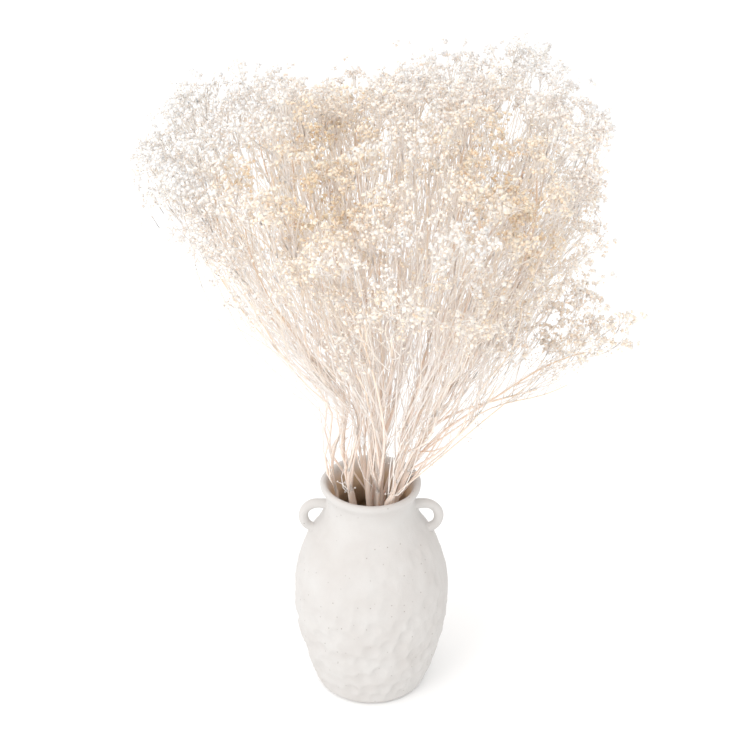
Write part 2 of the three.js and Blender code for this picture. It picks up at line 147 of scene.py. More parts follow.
# Woody stems
WOODY_POINTS = 48
WOODY_SIDES = 8
WOODY_HEIGHTS = [8, 200, 262, 330, 420, 640]
WOODY_RADII = [2.6, 2.4, 1.9, 1.4, 1.0, 0.6]
WOODY_EVEN = (0.7, 1.25)
WOODY_SWELL = (0.07, 0.21)  # how much they swell, and the turn for each millimetre
WOODY_TINT = (0.08, 0.12)  # of the darkest, and what the palest have more
MOUTH_HEIGHT = 234
MOUTH_PLACE = 0.84  # how near to the wall they pass the mouth, beside their places in the disc
MOUTH_JITTER = 12
JOIN_HEIGHT = 430  # where they are back in their places in the disc
LEAN_SHARE = 0.8  # of the lean between mouth and join that they have in the mouth
LEAN_DEPTH = 60  # below the mouth over which that lean fades
CLEAR_HEIGHTS = [8, 30, 150, 204, 226, 240]
CLEAR_RADII = [37, 46, 60, 34.5, 34.5, 37]  # that they stay within, clear of the wall

WOODY_TWIGS = 9  # short twigs on each woody stem
WOODY_TWIGS_ON = slice(17, 33)  # the stretch of its points that they stand on

# Branches, one for each head, fine stems, one for each cluster, and the florets' own stalks
FINE_POINTS = 13
BRANCH_FORKS = (215, 350)  # heights where branches leave the woody stem
BRANCH_RADII = (1.1, 0.5)
BRANCH_SIDES = 5
BRANCH_TINTS = (0.24, 0.5)
BRANCH_INTO = 40  # how strongly it turns outwards at its head
LOW_BRANCH_FORKS = (262, 300)
LOW_BRANCH_RADII = (1.5, 0.6)
FINE_FORKS = (236, 460)
FINE_RADII = (0.52, 0.32)
FINE_EVEN = (0.65, 1.4)
FINE_TINT = (0.22, 0.62)  # tint of a fine stem, and how much more it has below pale blooms, so the blooms' painted light and shade carry down to it
FINE_TINT_EVEN = (0.5, 1.1)
FORK_BELOW = 60  # at least so far below its own end a fine stem leaves the woody one
FORK_STEP = 5  # from a fork on a woody stem up to the point that gives the way there
SHARE_STEP = 0.02  # the same on other stems, for their length
FINE_ON_BRANCH = 0.7  # share of fine stems that leave their head's branch
FINE_SHARES = (0.12, 0.85)  # where on it they leave
LOW_SHARES = (0.5, 0.86)
SPLAY = (0.5, 2.0)  # how sharply a stem turns off the one that it leaves
BOW = 0.045  # how far stems bow aside, for their length
STALK_ROOM = 15  # from the end of a fine stem to the top of its cluster
ARRIVE = 0.8  # how strongly stems turn into the axes that they end along
SHOOT_POINTS = 5
SHOOT_TAPER = 0.8
SHOOT_REACH = 0.8  # that a shoot's cluster stands beyond its end, for the cluster's reach
ROD_SHADE, FLORET_SHADE = 0.012, 0.01  # how far the tint varies round a rod and round a floret
RAY_POINTS = 4
RAY_RADII = (0.42, 0.3)
PEDICEL_RADIUS = 0.28

# Clusters: rays, florets in the tuft at each ray's end, reach of the dome that the tufts lie on,
# its droop, how ragged it is, and the share of tufts that stray out of it
FULL = {"rays": 7, "florets": 4, "reach": 11, "droop": 0.5, "ragged": 3.6, "stray": 0.1}
THIN = {"rays": 4, "florets": 3, "reach": 9, "droop": 0.3, "ragged": 6.0, "stray": 0.15}
SPARSE = {"rays": 3, "florets": 2, "reach": 9, "droop": 0.3, "ragged": 7.0, "stray": 0.2}
LOW = {"rays": 5, "florets": 4, "reach": 12, "droop": 0.3, "ragged": 5.0, "stray": 0.1}
INNER = {"rays": 4, "florets": 3, "reach": 10, "droop": 0.3, "ragged": 4.0, "stray": 0.0}
SPRIG = {"rays": 3, "florets": 2, "reach": 5, "droop": 0.2, "ragged": 5.0, "stray": 0.0}
SNAG = {"rays": 2, "florets": 1, "reach": 4, "droop": 0.2, "ragged": 2.0, "stray": 0.0}
TWIG = {"rays": 3, "florets": 2, "reach": 6, "droop": 0.2, "ragged": 4.0, "stray": 0.0}
THIN_BELOW = (520, 600)  # heights below and above which a cluster is surely thin or surely full
THIN_LEFT = 10  # that those heights are raised by at the left edge
CLUSTER_EVEN = (0.82, 1.18)
TURN_STRAY, REACH_STRAY = 0.2, 0.12
ELBOW = 0.45  # how far along its start's way a ray's bend lies, for its length
TUFT_DEPTH = 6  # from the dome down to the point where a tuft's florets part
TUFT_CAP = 84  # half angle in degrees that a tuft fans out to
PEDICELS = (2.4, 5.6)
PEDICEL_STRAY, FACING_STRAY = 0.2, 0.22
FLORET_EVEN = (0.72, 1.2)
STALK_END = 0.6  # that a floret's stalk ends below its middle, for half its width
TINT_STRAY = 0.04
CROWN_SCALE = 1.12  # size of florets in the main clusters
TINTS = (0.03, 0.97)  # the darkest and the palest tint
STRAY = (6, 16)
HEAD_PULL = 0.14  # share of the way to the middle of its head that a cluster is drawn
HEAD_DOME = 16  # that a head's middle stands above its edge
HEAD_GATHER = (0.3, 0.85)  # share of the way up to its head's top that a cluster is raised
GATHER_LEVELS = (480, 580)
AXIS_OUT, AXIS_UP = 0.7, 0.8  # how far a cluster's axis turns outwards and up
LOOSE_LEFT, LOOSE_LEVELS = (50, 130), (600, 520)  # towards the lower left clusters grow sparse
RECESS = 20  # that the deepest clusters lie behind the foremost
PROUD = 5  # that the foremost stand out of the solid's
BARE_STEMS = 2  # fine stems beside each one that carries a cluster
BARE_BACK = (8, 60)  # that they end behind it
BARE_ASIDE = 12
BARE_TWIGS = 0.5  # share of them that carry a twig
BARE_LEFT = 0.75  # share of them that is missing at the left edge
BARE_SIDE = (50, 140)  # towards which it grows

# Side shoots: form of their clusters, where on their stems they stand, length, how far they stray from
# the stem's way, how much darker they are painted as painted shade deep in the bunch, radius, size of
# their florets
SIDE_SHOOTS = {
    "snags": (SNAG, (0.02, 0.98), (10, 30), 0.3, 0.1, 0.4, 0.5),
    "stray": (SNAG, (0.55, 0.97), (4, 16), 0.5, 0, 0.36, 0.55),
    "tips": (SPRIG, (0.86, 0.97), (15, 30), 0.3, 0, 0.34, 0.85),
    "low tips": (SPRIG, (0.86, 0.97), (8, 16), 0.3, 0, 0.34, 0.85),
    "low twigs": (TWIG, (0.25, 0.7), (20, 50), 0.3, 0.05, 0.34, 0.62),
    "inner": (INNER, (0.68, 0.88), (10, 30), 0.32, 0.12, 0.42, 1.0),
    "skyline": (SPRIG, (0.8, 0.95), (20, 40), 0.25, 0, 0.34, 0.9),
    "twigs": (TWIG, (0.3, 0.95), (14, 42), 0.36, 0.06, 0.34, 0.62),
}
SHOOT_TINT = (0.4, 0.5)  # as for fine stems
RAY_TINT, RAY_TINT_EVEN = (0.45, 0.5), (0.8, 1.1)

# Slim stray twigs: one over the rim at the right, one curled outside the bunch at the left
STRAY_TWIGS = [
    [
        (4, -16, 150), (14, -22, 205), (24, -25, 238), (56, -22, 269), (113, -18, 324),
        (161, -15, 368),
    ],
    [
        (-12, -10, 262), (-31, -12, 313), (-40, -14, 309), (-50, -14, 314), (-58, -12, 330),
        (-60, -10, 350), (-53, -8, 365),
    ],
]
STRAY_RADII = (0.8, 0.45)
STRAY_TINT = 0.4
STRAY_SHOOTS = 6

# Shifts of the bunch's left side, in above the mouth and out at the crown: middle height, reach,
# stretch to the left over which they set in, and how far they go to the right
SHIFTS = [(340, 54, (-10, 60), 32), (560, 66, (60, 190), -9)]

# Masses and gaps of the crown: x, y, height, reach, and how far they stand out (gaps: lie back)
RELIEF = [
    (110, -174, 586, 52, 27), (70, -71, 652, 50, 8), (8, -107, 649, 42, 6),
    (-80, -63, 648, 46, 8), (-150, -79, 617, 48, 10), (-129, 23, 640, 50, 9),
    (21, -205, 579, 34, 12), (-21, -187, 607, 34, 8), (-77, -149, 621, 34, 10),
    (-190, 0, 596, 60, 16), (-37, 146, 640, 74, -56), (60, 110, 640, 50, -8),
    (150, 130, 632, 50, 4), (198, -10, 610, 50, -12), (-35, -68, 655, 36, -44),
    (-43, -158, 626, 40, -54), (-108, -109, 631, 32, -42),
    (137, -139, 598, 46, -66), (121, -101, 637, 40, -60),
]
GAP_DEPTH = -20  # a mark at the front that lies back further than this is a gap
GAP_WAY = np.array([0, 0.86, -0.5])  # the way that gaps run, and how far
GAP_LENGTH = 150
RELIEF_TURNED = 175  # behind this y the same relief stands again, turned half round
BUD_SHARE = 0.34
OCHRE, WHITE = 0.46, 0.88  # tints with the least and the most painted light: ochre in the bunch's middle as painted shade, near white at its outer parts as painted light
PAINTED_LIGHT_PLACES = [  # painted light: share, then axis and the stretch over which it sets in: left, right, low, back
    (1.0, [(0, -60, -190)]), (0.5, [(0, 110, 210), (2, 460, 530)]),
    (0.3, [(2, 560, 450), (0, 100, 0)]), (1.0, [(1, -20, 120), (2, 580, 640)]),
]
INNER_SHARE = (0.75, 0.3)  # share of stems with an inner cluster, in the middle and at the sides
LOW_RAISED = (7, 22)  # that the low heads' clusters stand above the solids' ones, left and right
LOW_RIGHT = 100  # beyond this x low heads are right ones
LOW_FARTHEST = 225  # beyond this x they keep their height
LOW_FILLING = np.array([0, 6, 50])  # from the low right heads' clusters to the ones that fill them
MASS_GATHER = 0.8  # share of the way up to the top of its mass that a cluster is raised
MASS_TOP = 10  # that a mass's top stands above its mark
LONG_SPRIGS = (20, 110)  # from here to there, backwards, the top bears more and more airy sprigs
SKYLINE = 602  # height above which it bears them
THIN_BACK = 0.6  # share of full clusters that turn thin there
MASS_PAINTED_LIGHT = 0.028  # painted light: that blooms on a mass are painted paler by, for each millimetre it stands out
GAP_PAINTED_SHADE = 0.46  # painted shade: that blooms deep in a gap are painted darker, towards ochre, by

# Clay: sizes of its cloudy patches, its scraped facets and its grain
CLOUDS, FACETS, GRAIN = 38, 13, 1.6
PLAIN_SHARE = 0.87  # share of the specks' places that are left plain

# Studio, in metres
FLOOR_HALF = 8.0
KEY_SIZE = 1.6
KEY_PLACE = (-1.5, -2.0, 2.1)
CAMERA_PLACE = (0.004, -1.8, 1.409)
CAMERA_DOWN = 30.18  # degrees that it looks down
SENSOR = 36
GAMMA = 1.35


def linear(code):
    """An sRGB hex colour as linear red, green and blue."""
    values = [int(code[i:i + 2], 16) / 255 for i in (0, 2, 4)]
    return tuple(v / 12.92 if v <= 0.04045 else ((v + 0.055) / 1.055) ** 2.4 for v in values)


# Shapes


def draw(i, k):
    """A repeatable draw from 0 to 1 for two whole numbers."""
    s = np.sin(i * 12.9898 + k * 78.233 + 4.1) * 43758.5453
    return s - np.floor(s)


def signed(i, k):
    """A repeatable draw from -1 to 1."""
    return 2 * draw(i, k) - 1


def unit(vectors):
    """Vectors scaled to a length of 1."""
    return vectors / np.linalg.norm(vectors, axis=-1, keepdims=True)


def mix(a, b, t):
    """The point a share t of the way from a to b."""
    return a + (b - a) * t


def spline(points, count):
    """Evenly numbered points on the uniform Catmull-Rom curve through a list of points."""
    p = np.asarray(points, float)
    at = np.linspace(0, len(p) - 1, count)
    i = np.minimum(at.astype(int), len(p) - 2)
    t = (at - i)[:, None]
    before, start = p[np.maximum(i - 1, 0)], p[i]
    end, after = p[i + 1], p[np.minimum(i + 2, len(p) - 1)]
    v0, v1 = (end - before) / 2, (after - start) / 2
    cubic = 2 * start - 2 * end + v0 + v1
    square = -3 * start + 3 * end - 2 * v0 - v1
    return cubic * t**3 + square * t**2 + v0 * t + start


def evenly(points, count):
    """Points at equal distances along a line of points."""
    steps = np.linalg.norm(np.diff(points, axis=0), axis=1)
    along = np.concatenate([[0], np.cumsum(steps)])
    at = np.linspace(0, along[-1], count)
    return np.stack([np.interp(at, along, column) for column in points.T], -1)


def crossing(along):
    """Two directions at right angles to each line and to each other."""
    across = unit(np.cross(SIDEWAYS, along))
    return across, unit(np.cross(along, across))


def full_turn(count):
    """Angles that share a full turn evenly."""
    return np.arange(count) * 2 * np.pi / count


def turned(across, up, turn):
    """Directions in the plane of two others, turned by angles from the first to the second."""
    return across * np.cos(turn)[..., None] + up * np.sin(turn)[..., None]


def put_mesh(name, points, triangles, uv, material, attributes=None):
    """Makes a smooth mesh of points in millimetres. uv is given for each point or each corner."""
    mesh = bpy.data.meshes.new(name)
    mesh.vertices.add(len(points))
    mesh.vertices.foreach_set("co", (points * MM).astype(np.float32).ravel())
    mesh.loops.add(triangles.size)
    mesh.loops.foreach_set("vertex_index", triangles.astype(np.int32).ravel())
    mesh.polygons.add(len(triangles))
    mesh.polygons.foreach_set("loop_start", np.arange(0, triangles.size, 3, dtype=np.int32))
    mesh.polygons.foreach_set("use_smooth", np.ones(len(triangles), bool))
    corners = uv[triangles] if uv.ndim == 2 else uv
    layer = mesh.uv_layers.new(name="OFBake")
    layer.data.foreach_set("uv", corners.astype(np.float32).ravel())
    for key, values in (attributes or {}).items():
        attribute = mesh.attributes.new(key, "FLOAT", "POINT")
        attribute.data.foreach_set("value", values.astype(np.float32))
    mesh.materials.append(material)
    mesh.update(calc_edges=True)
    if mesh.validate():
        raise RuntimeError(f"{name} had faults in its mesh")
    piece = bpy.data.objects.new(name, mesh)
    bpy.context.scene.collection.objects.link(piece)
    return piece


def tube_triangles(rows, columns):
    """Triangles of a closed tube: its rows of rings, then the point that closes each end."""
    i = np.arange(rows - 1)[:, None]
    j = np.arange(columns)[None, :]
    a, b = i * columns + j, i * columns + (j + 1) % columns
    walls = np.stack([a, b, b + columns, a, b + columns, a + columns], -1).reshape(-1, 3)
    j = np.arange(columns)
    onward = (j + 1) % columns
    top = (rows - 1) * columns
    first = np.stack([onward, j, np.full(columns, rows * columns)], -1)
    last = np.stack([top + j, top + onward, np.full(columns, rows * columns + 1)], -1)
    return np.concatenate([walls, first, last])


def copies(points, faces, along, tints, width):
    """Many like shapes as one, from the points of each. The map holds how far along the shape
    each point lies, and the shape's tint, which varies by the width."""
    first = np.arange(len(points))[:, None, None] * points.shape[1]
    uv = np.stack(np.broadcast_arrays(along, tints[:, None] + width), -1)
    return points.reshape(-1, 3), (faces + first).reshape(-1, 3), uv.reshape(-1, 2)


def tubes(paths, radii, sides, tints):
    """Round rods along many paths of the same number of points: each point of a path has a
    ring at right angles to it."""
    count, rows = paths.shape[:2]
    across, up = crossing(unit(np.gradient(paths, axis=1)))
    turn = full_turn(sides)
    out = turned(across[:, :, None], up[:, :, None], turn)
    rings = paths[:, :, None] + out * radii[:, :, None, None]
    points = np.concatenate([rings.reshape(count, -1, 3), paths[:, :1], paths[:, -1:]], 1)
    along = np.concatenate([np.repeat(np.linspace(0.04, 0.96, rows), sides), [0.02, 0.98]])
    width = np.concatenate([np.tile(np.cos(turn + 0.3), rows), [0, 0]]) * ROD_SHADE
    return copies(points, tube_triangles(rows, sides), along, tints, width)


def needles(starts, ends, radius, tints):
    """Slim three-sided spikes from starts to ends, of four triangles each."""
    across, up = crossing(unit(ends - starts))
    out = turned(across[:, None], up[:, None], full_turn(3))
    points = np.concatenate([starts[:, None] + out * radius, ends[:, None]], 1)
    faces = np.array([[0, 2, 1], [0, 1, 3], [1, 2, 3], [2, 0, 3]])
    along, width = np.array([[0.3, 0.34, 0.38, 0.95], [-0.01, 0.01, 0, 0]])
    return copies(points, faces, along, tints, width)


def joined(parts):
    """Several sets of points, triangles and map places as one."""
    counts = [len(points) for points, _, _ in parts]
    first = np.cumsum([0] + counts[:-1])
    triangles = [part[1] + start for part, start in zip(parts, first)]
    points = np.concatenate([part[0] for part in parts])
    return points, np.concatenate(triangles), np.concatenate([part[2] for part in parts])


# Florets


def cup(radius, height, top, along, along_top):
    """A closed cup with its map: a pointed base, a ring of points, and a middle point on top."""
    k, turn = np.arange(len(radius)), full_turn(len(radius))
    ring = np.stack([radius * np.cos(turn), radius * np.sin(turn), height], -1)
    points = np.concatenate([[[0, 0, -1.05]], ring, [[0, 0, top]]])
    onward = (k + 1) % len(k) + 1
    below = np.stack([np.zeros_like(k), onward, k + 1], -1)
    above = np.stack([k + 1, onward, np.full_like(k, len(k) + 1)], -1)
    along = np.concatenate([[0.03], along, [along_top]])
    width = np.concatenate([[0], np.sin(turn + 0.2), [0]])
    return points, np.concatenate([below, above]), along, width


def open_floret(petals=5):
    """A cup whose rim goes in and out between petal tips, round a sunken middle."""
    tip = np.arange(2 * petals) % 2 == 0
    rim = np.where(tip, 1.0, 0.68), np.where(tip, 0.16, -0.1)
    return cup(*rim, -0.32, np.where(tip, 0.97, 0.8), 0.6)


def bud(sides=5):
    """A closed bud with a blunt tip."""
    return cup(np.full(sides, 0.66), np.full(sides, -0.15), 0.5, np.full(sides, 0.62), 0.97)


def placed(form, middles, axes, sizes, spins, tints):
    """Copies of a form, each turned to its axis, spun round it, scaled, and set at its middle."""
    shape, faces, along, width = form
    side = turned(*crossing(axes), spins)
    ways = side, np.cross(axes, side), axes
    rotated = sum(way[:, None] * shape[None, :, k:k + 1] for k, way in enumerate(ways))
    points = middles[:, None] + rotated * sizes[:, None, None]
    return copies(points, faces, along, tints, width * FLORET_SHADE)


# The bunch's plan


def progress(height, start, end):
    """How far a height is on the way from one to another, from 0 to 1."""
    return np.clip((height - start) / (end - start), 0, 1)


def opened(height):
    """How far the bunch has opened at a height: an S-shaped curve from 0 to 1."""
    return (0.5 * (1 - np.cos(np.pi * progress(height, SPREAD_FROM, SPREAD_TO)))) ** OPENING


def off_axis(height):
    """How far the bunch's middle stands off the vase's axis at a height."""
    sway = np.sin(np.pi * np.sqrt(progress(height, SWAY_FROM, SPREAD_TO))) ** 2
    return LEAN * opened(height) + SWAY * sway


def spread(height):
    """The radius that the disc of places is scaled to at a height."""
    return mix(MOUTH_RADIUS, CROWN_RADIUS, opened(height))


def in_disc(points):
    """The places in the disc that points stand for."""
    height = points[..., 2]
    at = np.stack([points[..., 0] - off_axis(height), points[..., 1]], -1)
    return at / spread(height)[..., None]


def from_disc(at, height):
    """The points that places in the disc stand for at their heights."""
    scale = spread(height)
    x = at[..., 0] * scale + off_axis(height)
    return np.stack([x, at[..., 1] * scale, height], -1)


def stem_cells():
    """The stems' places in the disc, on rings round its middle."""
    cells = []
    for count, place, first in STEM_RINGS:
        for i in range(count):
            bearing = math.radians(first + i * 360 / count)
            k = len(cells)
            cells.append((
                place * math.cos(bearing) + CELL_JITTER * signed(k, 1),
                place * math.sin(bearing) + CELL_JITTER * signed(k, 2),
            ))
    return np.array(cells)


def nearest(places, points):
    """The nearest of some places to each point, or to one."""
    return np.linalg.norm(points[..., None, :] - places, axis=-1).argmin(-1)


def nearest_cell(cells, points):
    """The stem whose place in the disc is nearest to each point."""
    return nearest(cells, in_disc(points))


def room_in(cells, own, point):
    """Distance from a point to the nearest edge of a stem's cell."""
    apart = np.delete(cells, own, 0) - cells[own]
    length = np.linalg.norm(apart, axis=1)
    at = in_disc(point) - cells[own]
    return ((length / 2 - apart @ at / length) * spread(point[2])).min()


def crown_points(count):
    """Points spread evenly over the crown by the golden angle, and the ways that they face."""
    outline = spline(CROWN, CROWN_STEPS + 1)
    step = np.diff(outline, axis=0)
    length = np.linalg.norm(step, axis=1)
    areas = np.concatenate([[0], np.cumsum(length * (outline[1:, 0] + outline[:-1, 0]))])
    k = np.arange(count)
    area = areas[-1] * (k + 0.5) / count
    i = np.searchsorted(areas, area)
    share = (area - areas[i - 1]) / (areas[i] - areas[i - 1])
    at = mix(outline[i - 1], outline[i], share[:, None])
    down = step[i - 1] / length[i - 1][:, None]
    east, north = np.cos(k * GOLDEN_ANGLE), np.sin(k * GOLDEN_ANGLE)
    places = np.stack([at[:, 0] * east + LEAN, at[:, 0] * north, at[:, 1]], -1)
    faces = np.stack([-down[:, 1] * east, -down[:, 1] * north, down[:, 0]], -1)
    return places, faces


def settled(places, faces, heads):
    """Moves clusters in and up at the lower edge on one side, then out by the crown's uneven
    shape and by each head's and each cluster's own small draw."""
    distance = np.hypot(places[:, 0], places[:, 1])
    edge = CROWN[-1][1]
    tuck = EDGE_TUCK * np.clip(-places[:, 0] / distance, 0, None)
    tuck = tuck * (1 - progress(places[:, 2], edge, edge + EDGE_HEIGHT))
    inward = np.stack([-places[:, 0] / distance, -places[:, 1] / distance, np.ones(len(places))], -1)
    turn = np.abs(np.arctan2(faces[:, 2], faces[:, 0])) / np.pi * (len(STAND_OUT) - 1)
    lift = np.interp(turn, np.arange(len(STAND_OUT)), STAND_OUT)
    lift = lift + HEAD_LIFT * signed(heads, 3) + CLUSTER_LIFT * signed(np.arange(len(places)), 4)
    return places + inward * tuck[:, None] + faces * lift[:, None]


def shared_out(heads, clusters):
    """Shares clusters out among heads, each to the nearest, and drops heads left too small."""
    owner = nearest(heads, clusters)
    counts = np.bincount(owner, minlength=len(heads))
    if (counts >= HEAD_FEWEST).all():
        return heads, owner
    return shared_out(heads[counts >= HEAD_FEWEST], clusters)


def root_of(cells, own, faces, places):
    """The point behind a head where its stalks meet, well inside its stem's cell."""
    back = unit(faces + np.array([0, 0, 1.0]))
    root = places.mean(0) - back * HEAD_STALK
    while np.linalg.norm(places - root, axis=1).min() < STALK_SHORTEST:
        root = root - back * ROOT_STEP
    home = from_disc(cells[own], root[2])
    while room_in(cells, own, root) < ROOT_ROOM:
        root[:2] = mix(root[:2], home[:2], ROOT_PULL)
    return root


def bloom_heads(cells):
    """Every stem's heads, each with its root, the middle of its clusters, and their facing."""
    head_places, head_faces = crown_points(CROWN_HEADS)
    head_cell = nearest_cell(cells, head_places)
    places, faces = crown_points(CROWN_CLUSTERS)
    own = nearest_cell(cells, places)
    places = settled(places, faces, nearest(head_places, places))
    plan = []
    for i in range(len(cells)):
        mine = own == i
        heads, owner = shared_out(head_places[head_cell == i], places[mine])
        stems = []
        for h, head in enumerate(heads):
            facing = head_faces[nearest(head_places, head)]
            group = places[mine][owner == h]
            stems.append({
                "root": root_of(cells, i, facing, group),
                "places": group,
                "faces": faces[mine][owner == h],
                "low": False,
            })
        plan.append(stems)
    for k, (degrees, distance, height) in enumerate(LOW_HEADS):
        bearing = math.radians(degrees)
        place = np.array([distance * math.cos(bearing), distance * math.sin(bearing), height])
        facing = unit(np.array([math.cos(bearing), math.sin(bearing), 1]))
        across, up = crossing(facing)
        around = place + LOW_REACH * turned(across, up, full_turn(LOW_CLUSTERS))
        group = np.concatenate([[place], around])
        group = group + facing * (CLUSTER_LIFT * signed(k, 5 + np.arange(len(group))))[:, None]
        i = nearest_cell(cells, place)
        plan[i].append({
            "root": root_of(cells, i, facing, group),
            "places": group,
            "faces": np.tile(facing, (len(group), 1)),
            "low": True,
        })
    return plan


# Vase


def outer_radius(height):
    """The outside's radius at a height, by straight lines between the outline's points."""
    radii, heights = np.array(OUTSIDE, float).T
    return np.interp(height, heights, radii)


def dimple_centres():
    """Bearing and height of the middle of every dimple."""
    centres = []
    for row in range(DIMPLE_ROWS):
        height = DIMPLE_BOTTOM + row * DIMPLE_PITCH
        count = int(math.floor(2 * math.pi * outer_radius(height) / DIMPLE_PITCH + 0.5))
        i = np.arange(count)
        turn = (draw(row, i) - 0.5) * DIMPLE_JITTER
        bearing = (i + 0.5 * (row % 2) + turn) * 2 * np.pi / count
        rise = (draw(i, row + 50) - 0.5) * DIMPLE_JITTER * DIMPLE_PITCH
        centres.append(np.stack([bearing, height + rise], -1))
    return np.concatenate(centres)


def dimple_depth(bearing, height, radius):
    """How deep the wall is pressed in: each dimple is a parabola, and near ones run together
    by the root of their summed powers."""
    centres = dimple_centres()
    k = np.arange(len(centres))
    centres[:, 0] += DIMPLE_STRAY * signed(k, 5) / outer_radius(centres[:, 1])
    centres[:, 1] += DIMPLE_STRAY * signed(k, 6)
    turn = bearing[:, None] - centres[:, 0]
    along = radius[:, None] * np.arctan2(np.sin(turn), np.cos(turn))
    square = (along**2 + (height[:, None] - centres[:, 1]) ** 2) / DIMPLE_RADIUS**2
    upper = mix(1, DIMPLE_UPPER, progress(centres[:, 1], *DIMPLE_LEVELS))
    pressed = mix(DIMPLE_LEAST, 1, draw(k, 7)) * upper
    hollow = np.clip(1 - square, 0, None) * pressed
    return (hollow**DIMPLE_SOFTNESS).sum(1) ** (1 / DIMPLE_SOFTNESS)


def smear_height(bearing, height, radius, onto):
    """Clay smeared out where the handles' ends are luted on: a soft round mound at each."""
    mound = np.zeros_like(bearing)
    for level, thickness, reach in SMEARS:
        for middle in (0, np.pi):
            turn = bearing - middle
            along = radius * np.arctan2(np.sin(turn), np.cos(turn))
            apart = (along**2 + (height - level) ** 2) / reach**2
            mound += thickness * np.exp(-(apart**1.5))
    return mound * onto


def vase_wall(settings):
    """The lathed wall: its outline turned round the axis, with dimples, smears of clay at the
    handles, and the slow waver of a hand-formed rim added to its radius."""
    outline = spline(OUTSIDE + LIP + INSIDE, WALL_STEPS)
    outline = np.concatenate([[[FOOT_START, 0.0]], outline, [[FLOOR_END, float(FLOOR)]]])
    outline = evenly(outline, WALL_ROWS)
    outside = np.arange(WALL_ROWS) <= outline[:, 1].argmax()
    radius, height = np.repeat(outline, WALL_COLUMNS, 0).T
    bearing = np.tile(full_turn(WALL_COLUMNS), WALL_ROWS)
    onto = np.repeat(outside, WALL_COLUMNS)
    fade = progress(height, DIMPLES_FROM, DIMPLES_FROM + DIMPLE_FADE)
    fade = fade * (1 - progress(height, DIMPLES_TO - DIMPLE_FADE, DIMPLES_TO))
    press = settings.dimple_depth * dimple_depth(bearing, height, radius) * fade * onto
    waves = [s * np.sin(count * bearing + up * height + start) for s, count, up, start in WAVES]
    waver = settings.waver * sum(waves) * progress(radius, *WAVER_RADII)
    radius = radius - press + waver + smear_height(bearing, height, radius, onto)
    share, count, start = RIM_WAVE
    lift = settings.waver * progress(height, *RIM_LEVELS) * np.sin(count * bearing + start) * share
    rings = np.stack([radius * np.cos(bearing), radius * np.sin(bearing), height + lift], -1)
    poles = [[0, 0, outline[0, 1]], [0, 0, outline[-1, 1]]]
    # painted shade: the inner wall is painted a darker warm tan below the lip, for the shade and warm
    # bounced light deep in the neck
    neck_shade = np.where(onto, 0, 1 - progress(height, *NECK_SHADE_LEVELS))
    return np.concatenate([rings, poles]), np.concatenate([neck_shade, [0, 1]])


def wrapped_map(rows, columns):
    """The map of a tube: round it across, and along it upwards, with the seam kept open."""
    triangles = tube_triangles(rows, columns)
    row, column = np.divmod(triangles, columns)
    wraps = (column.max(1) - column.min(1) > 1)[:, None] & (column == 0)
    across = (column + np.where(wraps, columns, 0)) / columns
    up = row / (rows - 1)
    pole = triangles >= rows * columns
    across = np.where(pole, (across * ~pole).sum(1, keepdims=True) / 2, across)
    up = np.where(pole, np.where(triangles == rows * columns, 0, 1), up)
    return triangles, np.stack([0.01 + 0.98 * across, 0.01 + 0.98 * np.clip(up, 0, 1)], -1)


def handle_rod(side):
    """Points of a rolled rod along the handle's curve, wider at its ends and a little uneven."""
    path = spline([(r, 0, z) for r, z in HANDLE_PATH], HANDLE_ROWS)
    share = np.linspace(-1, 1, HANDLE_ROWS)
    high, count = HANDLE_UNEVEN
    radius = HANDLE_RADIUS + HANDLE_FLARE * np.abs(share) ** FLARE_POWER
    radius = radius + high * np.sin(count * share + side)
    path[:, 0] *= side
    return tubes(path[None], radius[None], HANDLE_COLUMNS, np.zeros(1))[0]


# Materials


def add_node(tree, kind, links=None, stops=(), **settings):
    """Adds a shader node with its settings. Its links are nodes, whose first output they read,
    sockets, or plain values to hold. Stops are a colour ramp's places and linear colours."""
    node = tree.nodes.new("ShaderNode" + kind)
    for key, value in settings.items():
        setattr(node, key, value)
    for key, value in (links or {}).items():
        if isinstance(value, bpy.types.Node):
            value = value.outputs[0]
        if isinstance(value, bpy.types.NodeSocket):
            tree.links.new(value, node.inputs[key])
        else:
            node.inputs[key].default_value = value
    for k, (place, colour) in enumerate(stops):
        elements = node.color_ramp.elements
        element = elements[k] if k < len(elements) else elements.new(1)
        element.position = place
        element.color = (*colour, 1)
    return node


def new_material(name):
    """A material without nodes, and its node tree."""
    material = bpy.data.materials.new(name)
    material.use_nodes = True
    material.node_tree.nodes.clear()
    return material, material.node_tree


